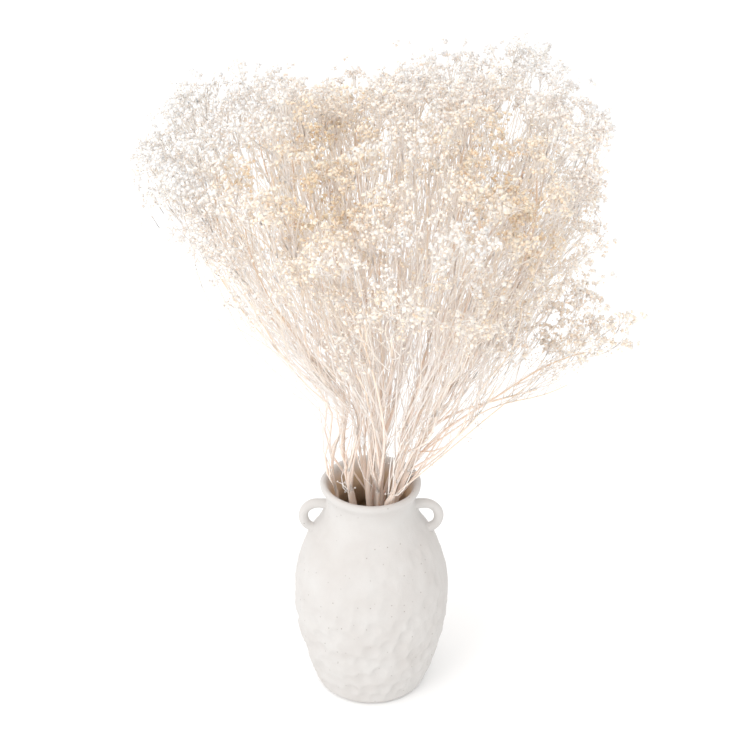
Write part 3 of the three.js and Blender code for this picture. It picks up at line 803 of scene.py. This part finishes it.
def bisque_clay(settings):
    """White stoneware, pressed by hand and fired once without a glaze: matt, slightly grainy, cloudy
    off-white with a few dark specks of iron and pits, with painted shade, a warmer darker tan, deep
    inside the neck."""
    material, tree = new_material("Unglazed white stoneware bisque")
    place = add_node(tree, "TexCoord").outputs["Object"]
    strokes = add_node(tree, "Mapping", {"Vector": place, "Scale": (1.0, 1.0, 0.6)})
    cloud, facets, grain = (
        add_node(tree, "TexNoise", {
            "Vector": vector, "Scale": 1 / (size * MM), "Detail": detail, "Roughness": roughness,
        })
        for vector, size, detail, roughness in (
            (place, CLOUDS, 4.0, 0.55), (strokes, FACETS, 1.0, 0.4), (place, GRAIN, 3.0, 0.6),
        )
    )
    body = add_node(
        tree, "ValToRGB", {"Fac": cloud},
        [(0.3, linear("bdb8b4")), (0.7, tuple(settings.clay_colour))],
    )
    specks = add_node(
        tree, "TexVoronoi",
        {"Vector": place, "Scale": 1 / (settings.speck_spacing * MM), "Randomness": 1.0},
    )
    near = add_node(tree, "MapRange", {
        "Value": specks, "From Min": 0.08, "From Max": 0.2, "To Min": 1.0, "To Max": 0.0,
    })
    own = add_node(tree, "SeparateColor", {0: specks.outputs["Color"]})
    kept = add_node(tree, "Math", {0: own, 1: PLAIN_SHARE}, operation="GREATER_THAN")
    dark = add_node(tree, "Math", {0: near, 1: kept}, operation="MULTIPLY")
    faint = add_node(tree, "Math", {0: dark, 1: 0.75}, operation="MULTIPLY")
    iron = (*linear("6f6459"), 1)
    specked = add_node(tree, "Mix", {0: faint, 6: body, 7: iron}, data_type="RGBA")
    # painted shade with warm bounced light: the inner wall deep in the neck is mixed towards a darker
    # tan
    neck_shade = add_node(tree, "Attribute", attribute_name="neck_shade").outputs["Fac"]
    inside = (*linear("bfa080"), 1)
    clay_with_neck_shade = add_node(tree, "Mix", {0: neck_shade, 6: specked.outputs[2], 7: inside}, data_type="RGBA")
    rough = add_node(tree, "MapRange", {"Value": grain, "To Min": 0.8, "To Max": 0.95})
    pits = add_node(tree, "Math", {0: grain, 1: dark}, operation="SUBTRACT")
    scraped = add_node(tree, "Bump", {"Height": facets, "Strength": 0.6, "Distance": 2.5 * MM})
    bump = add_node(
        tree, "Bump", {"Height": pits, "Strength": 0.35, "Distance": 0.5 * MM, "Normal": scraped},
    )
    shader = add_node(tree, "BsdfPrincipled", {
        "Base Color": clay_with_neck_shade.outputs[2], "Roughness": rough, "Normal": bump, "Specular IOR Level": 0.3,
    })
    add_node(tree, "OutputMaterial", {"Surface": shader})
    return material


def patterned(name, stops, tips, creases):
    """A dry plant surface read from the piece's map: across the map the tint, along it the way
    from base to tip. Creases run along, as many as given for each length."""
    material, tree = new_material(name)
    place = add_node(tree, "UVMap", uv_map="OFBake")
    parts = add_node(tree, "SeparateXYZ", {0: place})
    tint = add_node(tree, "ValToRGB", {"Fac": parts.outputs["Y"]}, stops)
    tip = add_node(tree, "ValToRGB", {"Fac": parts.outputs["X"]}, tips)
    toned = add_node(tree, "Mix", {0: 1.0, 6: tint, 7: tip}, data_type="RGBA", blend_type="MULTIPLY")
    stretched = add_node(tree, "Mapping", {"Vector": place, "Scale": (*creases, 1)})
    grain = add_node(
        tree, "TexNoise", {"Vector": stretched, "Scale": 1.0, "Detail": 2.0, "Roughness": 0.5},
    )
    uneven = add_node(tree, "MapRange", {
        "Value": grain, "From Min": 0.3, "From Max": 0.7, "To Min": 0.93, "To Max": 1.05,
    })
    colour = add_node(
        tree, "VectorMath", {"Vector": toned.outputs[2], "Scale": uneven}, operation="SCALE",
    )
    rough = add_node(tree, "MapRange", {"Value": grain, "To Min": 0.72, "To Max": 0.95})
    bump = add_node(tree, "Bump", {"Height": grain, "Strength": 0.2, "Distance": 0.1 * MM})
    shader = add_node(tree, "BsdfPrincipled", {
        "Base Color": colour, "Roughness": rough, "Normal": bump, "Specular IOR Level": 0.25,
        "Subsurface Weight": 1.0, "Subsurface Radius": (1.0, 0.94, 0.86),
        "Subsurface Scale": 2.0 * MM,
    })
    add_node(tree, "OutputMaterial", {"Surface": shader})
    return material


def papery_florets(settings):
    """Dried broom bloom florets, papery and whitened by bleaching: cream to greyish white, the greyish
    white as painted light on the bunch's outer parts, ochre inside the bunch as painted shade, tanner
    at the base of each cup."""
    stops = [
        (0.0, linear("dbbd98")), (0.28, linear("f2d8be")),
        (0.55, tuple(settings.bloom_colour)), (0.9, linear("f0ebe7")),
    ]
    tips = [(0.0, linear("f2e2d2")), (0.3, linear("fbf4ed")), (0.6, (1, 1, 1))]
    return patterned("Dried broom bloom florets", stops, tips, (9, 260))


def dried_stems(settings):
    """Dried stems: grey-tan bark on the woody ones, straw to pale cream on the fine ones."""
    stops = [
        (0.0, linear("cdbbaf")), (0.22, linear("e2cdc0")),
        (0.3, linear("eed9cc")), (0.65, tuple(settings.stem_colour)), (1.0, linear("f8f3f0")),
    ]
    tips = [(0.0, linear("f5f0ea")), (0.35, linear("fdfbf8")), (0.8, linear("faefdd"))]
    return patterned("Dried woody and straw stems", stops, tips, (70, 40))


# Bunch pieces


def hermite(starts, ends, leave, arrive, t):
    """Smooth curves from starts to ends, which leave along one vector and arrive along another."""
    near, far = 2 * t**3 - 3 * t**2 + 1, 3 * t**2 - 2 * t**3
    away, into = t**3 - 2 * t**2 + t, t**3 - t**2
    return near * starts + far * ends + away * leave + into * arrive


def in_place(cells, own, leader, height):
    """Where a woody stem stands at a height by its place in the disc."""
    t = progress(height, FORK_LOWEST, leader[2])[..., None] ** BEND
    return from_disc(mix(cells[own], in_disc(leader), t), height)


def held_clear(paths):
    """Stems moved towards the axis where they would touch the vase's wall."""
    height = paths[..., 2]
    clear = np.interp(height, CLEAR_HEIGHTS, CLEAR_RADII)
    off = np.linalg.norm(paths[..., :2], axis=-1)
    held = np.where(height < CLEAR_HEIGHTS[-1], np.minimum(1, clear / off), 1)
    paths = paths.copy()
    paths[..., :2] *= held[..., None]
    return paths


def woody_path(cells, own, leader, rng):
    """The woody stem: below the mouth a lean that fades with depth, held clear of the wall, then
    one smooth bend up to its place in the disc, and on to its own head."""
    height = np.linspace(FLOOR + FOOT_GAP, leader[2], WOODY_POINTS)
    mouth = in_place(cells, own, leader, np.array(float(MOUTH_HEIGHT)))
    mouth[:2] = mouth[:2] * MOUTH_PLACE + rng.uniform(-MOUTH_JITTER, MOUTH_JITTER, 2)
    rise = JOIN_HEIGHT - MOUTH_HEIGHT
    join, past = in_place(cells, own, leader, np.array([JOIN_HEIGHT, JOIN_HEIGHT + 1.0]))
    lean = (join - mouth) / rise
    lean[:2] *= LEAN_SHARE
    t = progress(height, MOUTH_HEIGHT, JOIN_HEIGHT)[:, None]
    bend = hermite(mouth, join, lean * rise, (past - join) * rise, t)
    above = np.where(t < 1, bend, in_place(cells, own, leader, height))
    depth = LEAN_DEPTH * (1 - np.exp((height[:, None] - MOUTH_HEIGHT) / LEAN_DEPTH))
    path = np.where(t > 0, above, mouth - lean * depth)
    path[:, 2] = height
    return held_clear(path)


def at_share(paths, share):
    """For each share of the way, the point of its own path that lies there."""
    at = share * (paths.shape[1] - 1)
    i = np.minimum(at.astype(int), paths.shape[1] - 2)
    k = np.arange(len(share))
    return mix(paths[k, i], paths[k, i + 1], (at - i)[:, None])


def at_height(path, height):
    """Points of an upward path at given heights."""
    return np.stack([np.interp(height, path[:, 2], path[:, axis]) for axis in range(3)], -1)


def stems_between(starts, along, ends, axes, rng):
    """Slender stems: each turns off the stem that it starts on, bows a little aside, and comes
    into its end along an axis."""
    chord = ends - starts
    length = np.linalg.norm(chord, axis=1, keepdims=True)
    aside = chord / length
    aside = aside - along * (aside * along).sum(1, keepdims=True)
    leave = unit(along + aside * rng.uniform(*SPLAY, length.shape))
    t = np.linspace(0, 1, FINE_POINTS)[:, None]
    arrive = (axes * length)[:, None] * ARRIVE
    paths = hermite(starts[:, None], ends[:, None], (leave * length)[:, None], arrive, t)
    across, up = crossing(chord / length)
    lift, wave = (
        (rng.normal(0, far, length.shape) * across + rng.normal(0, far, length.shape) * up) * length
        for far in (BOW, BOW / 3)
    )
    return paths + lift[:, None] * np.sin(np.pi * t) + wave[:, None] * np.sin(3 * np.pi * t)


def shoots(paths, share, lengths, straying, rng):
    """Side shoots: each leaves its stem at a share of its length and bends off from its way.
    Gives them, and the ways that their tips point."""
    starts = at_share(paths, share)
    along = unit(at_share(paths, share + SHARE_STEP) - starts)
    tips = unit(along + rng.normal(0, straying, along.shape))
    t = np.linspace(0, 1, SHOOT_POINTS)[:, None]
    lengths = lengths[:, None]
    ends = starts + tips * lengths
    leave, arrive = (along * lengths)[:, None], (tips * lengths)[:, None]
    return hermite(starts[:, None], ends[:, None], leave, arrive, t), tips


def apart_from(marks, places):
    """How far places are from each mark, for its reach."""
    return np.linalg.norm(places[:, None] - marks[:, :3], axis=-1) / marks[:, 3]


def relief(places):
    """How far clusters at some places stand out: a bell-shaped rise or dip for each mass or gap."""
    marks = np.array(RELIEF, float)
    behind = np.where(places[:, 1] > RELIEF_TURNED, -1.0, 1.0)[:, None]
    at = places * np.hstack([behind, behind, np.ones_like(behind)])
    return np.exp(-(apart_from(marks, at) ** 2)) @ marks[:, 4]


def in_gap(places):
    """How far places are inside a gap, from 0 to 1, which sets the painted shade of their blooms. Each
    gap runs back into the bunch.
    """
    gaps = np.array([mark for mark in RELIEF if mark[4] < GAP_DEPTH and mark[1] < 0], float)
    from_mouth = places[:, None] - gaps[:, :3]
    inward = np.clip(from_mouth @ GAP_WAY, 0, GAP_LENGTH)[..., None] * GAP_WAY
    return np.exp(-((np.linalg.norm(from_mouth - inward, axis=-1) / gaps[:, 3]) ** 2)).max(1)


def gathered(places):
    """Heights of clusters once they are raised towards the top of the mass that they lie in, so
    that its bare stems show below."""
    marks = np.array([mark for mark in RELIEF if mark[4] > 0], float)
    apart = apart_from(marks, places)
    own = apart.argmin(1)
    share = MASS_GATHER * np.exp(-(apart.min(1) ** 2))
    top = np.maximum(places[:, 2], marks[own, 2] + MASS_TOP)
    return mix(places[:, 2], top, share)


def painted_light_share(places):
    """How far blooms are painted paler as painted light, from 0 to 1: least at the bunch's front and
    middle, which keep their ochre as painted shade, most at its left and its back."""
    shares = [
        share * np.prod([progress(places[:, axis], *ends) for axis, *ends in stretches], 0)
        for share, stretches in PAINTED_LIGHT_PLACES
    ]
    return np.clip(sum(shares), 0, 1)


def tint_at(places):
    """The tint of blooms at some places: painted paler at the outer parts as painted light, painted
    ochre in the middle and darker inside the gaps as painted shade.
    """
    return mix(OCHRE, WHITE, painted_light_share(places)) - GAP_PAINTED_SHADE * in_gap(places)


def drawn_in(points):
    """Draws the left side of the bunch in above the mouth, where its stems rise steeply, and out
    at the crown: bell-shaped shifts over the height, which grow from the middle to the left."""
    points = points.copy()
    for level, reach, stretch, shift in SHIFTS:
        bell = np.exp(-(((points[:, 2] - level) / reach) ** 2))
        points[:, 0] += shift * bell * progress(-points[:, 0], *stretch)
    return points


def cluster(form, middles, axes, stems, rng):
    """Tufts of florets on a low dome over each cluster's middle, at golden-angle places. A ray
    for each tuft leaves the stem, one below the other, and bends to it. A tuft's florets stand
    on a cap round the ray's end. Gives the rays, and each floret's foot, place and facing."""
    reach = form["reach"] * rng.uniform(*CLUSTER_EVEN, (len(middles), 1))
    across, up = crossing(axes)
    j = np.arange(form["rays"])
    turn = j * GOLDEN_ANGLE + rng.uniform(0, 2 * np.pi, reach.shape)
    turn = turn + rng.normal(0, TURN_STRAY, turn.shape)
    radius = reach * np.sqrt((j + 0.5) / len(j)) * rng.normal(1, REACH_STRAY, turn.shape)
    drop = TUFT_DEPTH + form["droop"] * radius**2 / reach + rng.normal(0, form["ragged"], turn.shape)
    drop = drop - rng.uniform(*STRAY, turn.shape) * (rng.random(turn.shape) < form["stray"])
    ends = middles[:, None] - axes[:, None] * drop[..., None]
    ends = ends + across[:, None] * (radius * np.cos(turn))[..., None]
    ends = ends + up[:, None] * (radius * np.sin(turn))[..., None]

    level = 1 + j // 2
    starts = stems[:, -level]
    onward = unit(starts - stems[:, -level - 1])
    elbows = starts + onward * np.linalg.norm(ends - starts, axis=-1, keepdims=True) * ELBOW
    t = np.linspace(0, 1, RAY_POINTS)[:, None]
    start, elbow, end = starts[:, :, None], elbows[:, :, None], ends[:, :, None]
    rays = (1 - t) ** 2 * start + 2 * t * (1 - t) * elbow + t**2 * end

    m = np.arange(form["florets"])
    way = unit(ends - elbows)
    side, other = crossing(way)
    low = 1 - (1 - math.cos(math.radians(TUFT_CAP))) * (m + 0.5) / len(m)
    fan = m * GOLDEN_ANGLE + rng.uniform(0, 2 * np.pi, (*turn.shape, 1))
    flat = turned(side[:, :, None], other[:, :, None], fan)
    ways = way[:, :, None] * low[:, None] + flat * np.sqrt(1 - low**2)[:, None]
    ways = unit(ways + rng.normal(0, PEDICEL_STRAY, ways.shape))
    feet = np.broadcast_to(end, ways.shape)
    places = feet + ways * rng.uniform(*PEDICELS, (*ways.shape[:-1], 1))
    facing = unit(ways + rng.normal(0, FACING_STRAY, ways.shape))
    return rays.reshape(-1, RAY_POINTS, 3), *(part.reshape(-1, 3) for part in (feet, places, facing))


def straw_tints(tints, scale, even, rng):
    """Uneven tints of the stems below some blooms, paler below the paler ones, so the blooms' painted
    light and shade carry down to them.
    """
    return scale[0] + scale[1] * tints * rng.uniform(*even, len(tints))


class Growth:
    """The rods and florets of one spray, gathered as it grows."""

    def __init__(self, floret_width, rng):
        self.floret_width = floret_width
        self.rng = rng
        self.stems = []
        self.blooms = []

    def add_stems(self, paths, radii, tints, sides=3):
        """Adds rods that taper evenly, some slimmer and some thicker than others."""
        each = self.rng.uniform(*FINE_EVEN, (len(paths), 1))
        self.stems.append(tubes(paths, np.linspace(*radii, paths.shape[1]) * each, sides, tints))

    def add_clusters(self, form, middles, axes, paths, tints, scale):
        """Adds clusters of florets, with their rays and stalks, to the ends of some stems."""
        if not len(paths):
            return
        rng = self.rng
        rays, feet, places, facing = cluster(form, middles, axes, paths, rng)
        pale = straw_tints(np.repeat(tints, form["rays"]), RAY_TINT, RAY_TINT_EVEN, rng)
        radii = np.tile(np.linspace(*RAY_RADII, RAY_POINTS), (len(rays), 1))
        self.stems.append(tubes(rays, radii, 3, pale))
        size = 0.5 * scale * self.floret_width * rng.uniform(*FLORET_EVEN, len(places))
        tops = places - facing * size[:, None] * STALK_END
        self.stems.append(needles(feet, tops, PEDICEL_RADIUS, np.repeat(pale, form["florets"])))
        spin = rng.uniform(0, 2 * np.pi, len(places))
        tints = np.repeat(tints, form["rays"] * form["florets"])
        tints = np.clip(tints + rng.normal(0, TINT_STRAY, len(places)), *TINTS)
        closed = rng.random(len(places)) < BUD_SHARE
        for kind, own in ((bud(), closed), (open_floret(), ~closed)):
            each = (part[own] for part in (places, facing, size, spin, tints))
            self.blooms.append(placed(kind, *each))

    def add_side_clusters(self, kind, paths):
        """Adds side shoots of one kind to some stems, with a small cluster on each."""
        if not len(paths):
            return
        form, shares, lengths, straying, darker, radius, scale = SIDE_SHOOTS[kind]
        share = self.rng.uniform(*shares, len(paths))
        length = self.rng.uniform(*lengths, len(paths))
        short, tips = shoots(paths, share, length, straying, self.rng)
        ends = short[:, -1]
        # painted shade: shoots deep among the stems are painted darker than the blooms' tint at their
        # ends
        tints = np.clip(tint_at(ends) - darker, *TINTS)
        self.add_stems(short, (radius, radius * SHOOT_TAPER), SHOOT_TINT[0] + SHOOT_TINT[1] * tints)
        middles = ends + tips * form["reach"] * SHOOT_REACH
        self.add_clusters(form, middles, tips, short, tints, scale)


def head_clusters(head, rng):
    """A head's clusters, drawn together to a dome and lifted out by the relief: their middles,
    the ways that they face, their axes, and how far the relief lifts them."""
    places, faces, low = head["places"], head["faces"], head["low"]
    if low and places[0, 0] < LOW_FARTHEST:
        right = places[0, 0] > LOW_RIGHT
        places = places + [0, 0, LOW_RAISED[right]]
        if right:
            places = np.concatenate([places, places + LOW_FILLING])
            faces = np.concatenate([faces, faces])
    middle = places.mean(0)
    away = np.linalg.norm(places - middle, axis=1)
    out = HEAD_DOME * (0.5 - away / max(away.max(), 1))
    middles = mix(places, middle, HEAD_PULL)
    rise = np.zeros(len(places))
    if not low:
        rise = relief(places)
        out = out + rise + PROUD - RECESS * rng.random(len(places)) ** 2
        gather = rng.uniform(*HEAD_GATHER) * progress(middles[:, 2], *GATHER_LEVELS)
        middles[:, 2] = mix(middles[:, 2], middles[:, 2].max(), gather)
        middles[:, 2] = gathered(middles)
    middles = middles + faces * out[:, None]
    axes = unit(unit(middles - head["root"]) + AXIS_OUT * faces + [0, 0, AXIS_UP])
    return middles, faces, axes, rise


def branch_to(head, woody, faces, rng):
    """The branch from the woody stem to a head's root, which it comes into facing outwards."""
    root = head["root"]
    fork = rng.uniform(*(LOW_BRANCH_FORKS if head["low"] else BRANCH_FORKS), 1)
    start = at_height(woody, fork)
    along = unit(at_height(woody, fork + FORK_STEP) - start)
    into = unit(root - start + faces.mean(0) * BRANCH_INTO)
    return held_clear(stems_between(start, along, root[None], into, rng))


def fine_stems(woody, branch, low, ends, axes, rng):
    """Fine stems up to some ends, each from its head's branch or from the woody stem."""
    count = len(ends)
    share = rng.uniform(*(LOW_SHARES if low else FINE_SHARES), count)
    branches = np.repeat(branch, count, 0)
    fork = np.minimum(rng.uniform(*FINE_FORKS, count), ends[:, 2] - FORK_BELOW)
    on_branch = ((rng.random(count) < FINE_ON_BRANCH) | low)[:, None]
    starts, onward = (
        np.where(on_branch, at_share(branches, share + step), at_height(woody, fork + higher))
        for step, higher in ((0, 0), (SHARE_STEP, FORK_STEP))
    )
    return held_clear(stems_between(starts, unit(onward - starts), ends, axes, rng))


def spray_parts(cells, own, heads, settings):
    """Every rod and floret of one spray, as the arrays of its stems and of its blooms."""
    rng = np.random.default_rng(own + settings.seed)
    growth = Growth(settings.floret_width, rng)
    leader = max(heads, key=lambda head: head["root"][2])
    woody = woody_path(cells, own, leader["root"], rng)
    radii = np.interp(woody[:, 2], WOODY_HEIGHTS, WOODY_RADII) * rng.uniform(*WOODY_EVEN)
    swell, often = WOODY_SWELL
    radii = radii * (1 + swell * np.sin(woody[:, 2] * often + own))
    tint = WOODY_TINT[0] + WOODY_TINT[1] * draw(own, 9)
    growth.stems.append(tubes(woody[None], radii[None], WOODY_SIDES, np.array([tint])))
    growth.add_side_clusters("snags", np.repeat(woody[None, WOODY_TWIGS_ON], WOODY_TWIGS, 0))
    for twig in STRAY_TWIGS:
        if nearest_cell(cells, np.array(twig[0], float)) == own:
            path = spline(twig, WOODY_POINTS)[None]
            growth.add_stems(path, STRAY_RADII, np.array([STRAY_TINT]), BRANCH_SIDES)
            growth.add_side_clusters("stray", np.repeat(path, STRAY_SHOOTS, 0))

    for head in heads:
        low = head["low"]
        middles, faces, axes, rise = head_clusters(head, rng)
        branch = branch_to(head, woody, faces, rng)
        radii = LOW_BRANCH_RADII if low else BRANCH_RADII
        growth.add_stems(branch, radii, rng.uniform(*BRANCH_TINTS, 1), BRANCH_SIDES)
        paths = fine_stems(woody, branch, low, middles - axes * STALK_ROOM, axes, rng)
        count = len(paths)
        # the tint holds painted light at the outer parts and painted shade in the middle and the gaps;
        # the random stray is the blooms' own
        tints = tint_at(middles) + rng.normal(0, TINT_STRAY, count)
        # painted light: blooms on a mass that stands out are painted paler
        tints = np.clip(tints + MASS_PAINTED_LIGHT * np.clip(rise, 0, None), *TINTS)
        growth.add_stems(paths, FINE_RADII, straw_tints(tints, FINE_TINT, FINE_TINT_EVEN, rng))

        level = middles[:, 2] + THIN_LEFT * np.clip(middles[:, 0] / CROWN_RADIUS, -1, 0)
        airy = THIN_BACK * progress(middles[:, 1], *LONG_SPRIGS)
        thin = rng.random(count) > progress(level, *THIN_BELOW) - airy
        loose = progress(-middles[:, 0], *LOOSE_LEFT) * progress(middles[:, 2], *LOOSE_LEVELS)
        sparse = thin & (rng.random(count) < loose)
        forms = [(SPARSE, sparse), (THIN, thin & ~sparse), (FULL, ~thin)]
        if low:
            forms = [(LOW, np.full(count, True))]
        for form, kept in forms:
            each = (part[kept] for part in (middles, axes, paths, tints))
            growth.add_clusters(form, *each, CROWN_SCALE)
        if low:
            growth.add_side_clusters("low tips", paths)
            growth.add_side_clusters("low twigs", paths)
            continue

        growth.add_side_clusters("tips", paths)
        outward = np.clip(np.abs(middles[:, 0]) / CROWN_RADIUS, 0, 1)
        filled = rng.random(count) < mix(*INNER_SHARE, outward) * (1 - loose)
        growth.add_side_clusters("inner", paths[filled])
        skyline = (middles[:, 1] > LONG_SPRIGS[0]) & (middles[:, 2] > SKYLINE)
        growth.add_side_clusters("skyline", paths[skyline])
        beside = np.repeat(axes, BARE_STEMS, 0)
        ends = np.repeat(middles, BARE_STEMS, 0) + rng.normal(0, BARE_ASIDE, beside.shape)
        ends = ends - beside * rng.uniform(*BARE_BACK, (len(beside), 1))
        kept = rng.random(len(ends)) > BARE_LEFT * progress(-ends[:, 0], *BARE_SIDE)
        bare = fine_stems(woody, branch, low, ends[kept], beside[kept], rng)
        tints = np.repeat(tints, BARE_STEMS)[kept]
        growth.add_stems(bare, FINE_RADII, straw_tints(tints, FINE_TINT, FINE_TINT_EVEN, rng))
        growth.add_side_clusters("twigs", bare[rng.random(len(bare)) < BARE_TWIGS])
    stems, blooms = joined(growth.stems), joined(growth.blooms)
    return (drawn_in(stems[0]), *stems[1:]), (drawn_in(blooms[0]), *blooms[1:])


# Properties


class DRIEDBLOOM_PG_vase(bpy.types.PropertyGroup):
    dimple_depth: bpy.props.FloatProperty(
        name="Dimple depth", default=4.3,
        description="How deep the wall is pressed in, in millimetres",
    )
    waver: bpy.props.FloatProperty(
        name="Waver", default=0.55,
        description="How far the hand-formed wall strays, in millimetres",
    )
    speck_spacing: bpy.props.FloatProperty(
        name="Speck spacing", default=4.2,
        description="From one speck or pit to the next, in millimetres",
    )
    clay_colour: bpy.props.FloatVectorProperty(
        name="Clay", default=linear("c5c2bf"), size=3, subtype="COLOR",
        description="Colour of the fired clay",
    )


class DRIEDBLOOM_PG_bunch(bpy.types.PropertyGroup):
    seed: bpy.props.IntProperty(
        name="Seed", default=40, description="First seed of the sprays' draws",
    )
    floret_width: bpy.props.FloatProperty(
        name="Floret width", default=4.5, description="Across an open floret, in millimetres",
    )
    bloom_colour: bpy.props.FloatVectorProperty(
        name="Bloom", default=linear("fde9db"), size=3, subtype="COLOR",
        description="Colour of most florets",
    )
    stem_colour: bpy.props.FloatVectorProperty(
        name="Straw", default=linear("f8ebe5"), size=3, subtype="COLOR",
        description="Colour of the fine stems",
    )


class DRIEDBLOOM_PG_stage(bpy.types.PropertyGroup):
    lens: bpy.props.FloatProperty(
        name="Lens", default=102.8, subtype="DISTANCE_CAMERA", unit="CAMERA",
        description="Focal length",
    )
    sky: bpy.props.FloatProperty(
        name="Sky", default=1.27, description="Mean strength of the soft light all round",
    )
    slope: bpy.props.FloatVectorProperty(
        name="Slope", default=(-0.27, -0.2, 0.3), subtype="XYZ",
        description="How much the soft light grows along each axis",
    )
    key: bpy.props.FloatProperty(
        name="Key", default=24, unit="POWER",
        description="Power of the large soft light at the left",
    )


# Operators


def settings_of(context):
    """The scene's settings for the vase, the bunch and the stage."""
    scene = context.scene
    return scene.dried_bloom_vase, scene.dried_bloom_bunch, scene.dried_bloom_stage


class DRIEDBLOOM_OT_vase(bpy.types.Operator):
    """Makes the vase's wall and its two ring handles"""

    bl_idname = "dried_bloom.vase"
    bl_label = "Vase"

    def execute(self, context):
        settings = settings_of(context)[0]
        clay = bisque_clay(settings)
        points, neck_shade = vase_wall(settings)
        mapped = wrapped_map(WALL_ROWS, WALL_COLUMNS)
        wall = put_mesh("vase_wall", points, *mapped, clay, {"neck_shade": neck_shade})
        mapped = wrapped_map(HANDLE_ROWS, HANDLE_COLUMNS)
        right = put_mesh("vase_handle_right", handle_rod(1), *mapped, clay)
        left = put_mesh("vase_handle_left", handle_rod(-1), *mapped, clay)
        for piece in (wall, right, left):
            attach(piece, "root")
            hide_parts("vase")
        return {"FINISHED"}


class DRIEDBLOOM_OT_sprays(bpy.types.Operator):
    """Makes the stems and the blooms of every spray"""

    bl_idname = "dried_bloom.sprays"
    bl_label = "Sprays"

    def execute(self, context):
        settings = settings_of(context)[1]
        straw, petals = dried_stems(settings), papery_florets(settings)
        cells = stem_cells()
        for own, heads in enumerate(bloom_heads(cells)):
            node = f"spray_{own + 1:02d}"
            stems, blooms = spray_parts(cells, own, heads, settings)
            wood = put_mesh(f"{node}_stems", *stems, straw)
            bloom = put_mesh(f"{node}_blooms", *blooms, petals)
            for piece in (wood, bloom):
                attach(piece, "root")
                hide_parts(node)
        return {"FINISHED"}


class DRIEDBLOOM_OT_stage(bpy.types.Operator):
    """Makes the floor, the lights and the camera"""

    bl_idname = "dried_bloom.stage"
    bl_label = "Studio"

    def execute(self, context):
        settings = settings_of(context)[2]
        scene = context.scene
        mesh = bpy.data.meshes.new("floor")
        corners = [(-1, -1), (1, -1), (1, 1), (-1, 1)]
        mesh.from_pydata([(x * FLOOR_HALF, y * FLOOR_HALF, 0) for x, y in corners], [], [(0, 1, 2, 3)])
        floor = bpy.data.objects.new("floor", mesh)
        paper, tree = new_material("White studio paper")
        shader = add_node(tree, "BsdfPrincipled", {
            "Base Color": (0.97, 0.97, 0.97, 1), "Roughness": 1.0, "Specular IOR Level": 0.0,
        })
        add_node(tree, "OutputMaterial", {"Surface": shader})
        mesh.materials.append(paper)
        scene.collection.objects.link(floor)

        world = bpy.data.worlds.new("Studio")
        world.use_nodes = True
        tree = world.node_tree
        sight = add_node(tree, "TexCoord").outputs["Generated"]
        rise = add_node(tree, "VectorMath", {0: sight, 1: settings.slope}, operation="DOT_PRODUCT")
        level = settings.sky * (1 - settings.slope[2] * 2 / 3)
        strength = add_node(
            tree, "Math", {0: rise.outputs["Value"], 1: settings.sky, 2: level},
            operation="MULTIPLY_ADD",
        )
        seen = add_node(tree, "LightPath").outputs["Is Camera Ray"]
        plain = add_node(tree, "Math", {0: seen, 1: strength}, operation="ADD")
        background = tree.nodes["Background"]
        background.inputs["Color"].default_value = (1.0, 0.995, 0.985, 1)
        tree.links.new(plain.outputs[0], background.inputs["Strength"])
        scene.world = world

        lamp = bpy.data.lights.new("Key", "AREA")
        lamp.shape = "DISK"
        lamp.size = KEY_SIZE
        lamp.energy = settings.key
        key = bpy.data.objects.new("Key", lamp)
        key.location = KEY_PLACE
        key.rotation_euler = (-key.location).to_track_quat("-Z", "Y").to_euler()
        key.visible_camera = False
        scene.collection.objects.link(key)

        data = bpy.data.cameras.new("Camera")
        data.sensor_width = SENSOR
        data.lens = settings.lens
        camera = bpy.data.objects.new("Camera", data)
        camera.location = CAMERA_PLACE
        camera.rotation_euler = (math.radians(90 - CAMERA_DOWN), 0, 0)
        scene.collection.objects.link(camera)
        scene.camera = camera
        scene.view_settings.view_transform = "Standard"
        scene.view_settings.gamma = GAMMA
        return {"FINISHED"}


class DRIEDBLOOM_PT_panel(bpy.types.Panel):
    """Shows the settings of the pieces and the stage, with a button for each operator"""

    bl_idname = "DRIEDBLOOM_PT_panel"
    bl_label = "Dried bloom"
    bl_space_type = "VIEW_3D"
    bl_region_type = "UI"
    bl_category = "Dried bloom"

    def draw(self, context):
        layout = self.layout
        for group, operator in zip(settings_of(context), OPERATORS):
            for key in group.__annotations__:
                layout.prop(group, key)
            layout.operator(operator.bl_idname)


GROUPS = {
    "dried_bloom_vase": DRIEDBLOOM_PG_vase,
    "dried_bloom_bunch": DRIEDBLOOM_PG_bunch,
    "dried_bloom_stage": DRIEDBLOOM_PG_stage,
}
OPERATORS = (DRIEDBLOOM_OT_vase, DRIEDBLOOM_OT_sprays, DRIEDBLOOM_OT_stage)


def register():
    for group in GROUPS.values():
        bpy.utils.register_class(group)
    for kind in (*OPERATORS, DRIEDBLOOM_PT_panel):
        bpy.utils.register_class(kind)
    for name, group in GROUPS.items():
        setattr(bpy.types.Scene, name, bpy.props.PointerProperty(type=group))


def unregister():
    for name in GROUPS:
        delattr(bpy.types.Scene, name)
    for kind in (DRIEDBLOOM_PT_panel, *OPERATORS, *GROUPS.values()):
        bpy.utils.unregister_class(kind)


def main():
    register()
    bpy.ops.dried_bloom.vase()
    bpy.ops.dried_bloom.sprays()
    bpy.ops.dried_bloom.stage()


if __name__ == "__main__":
    main()
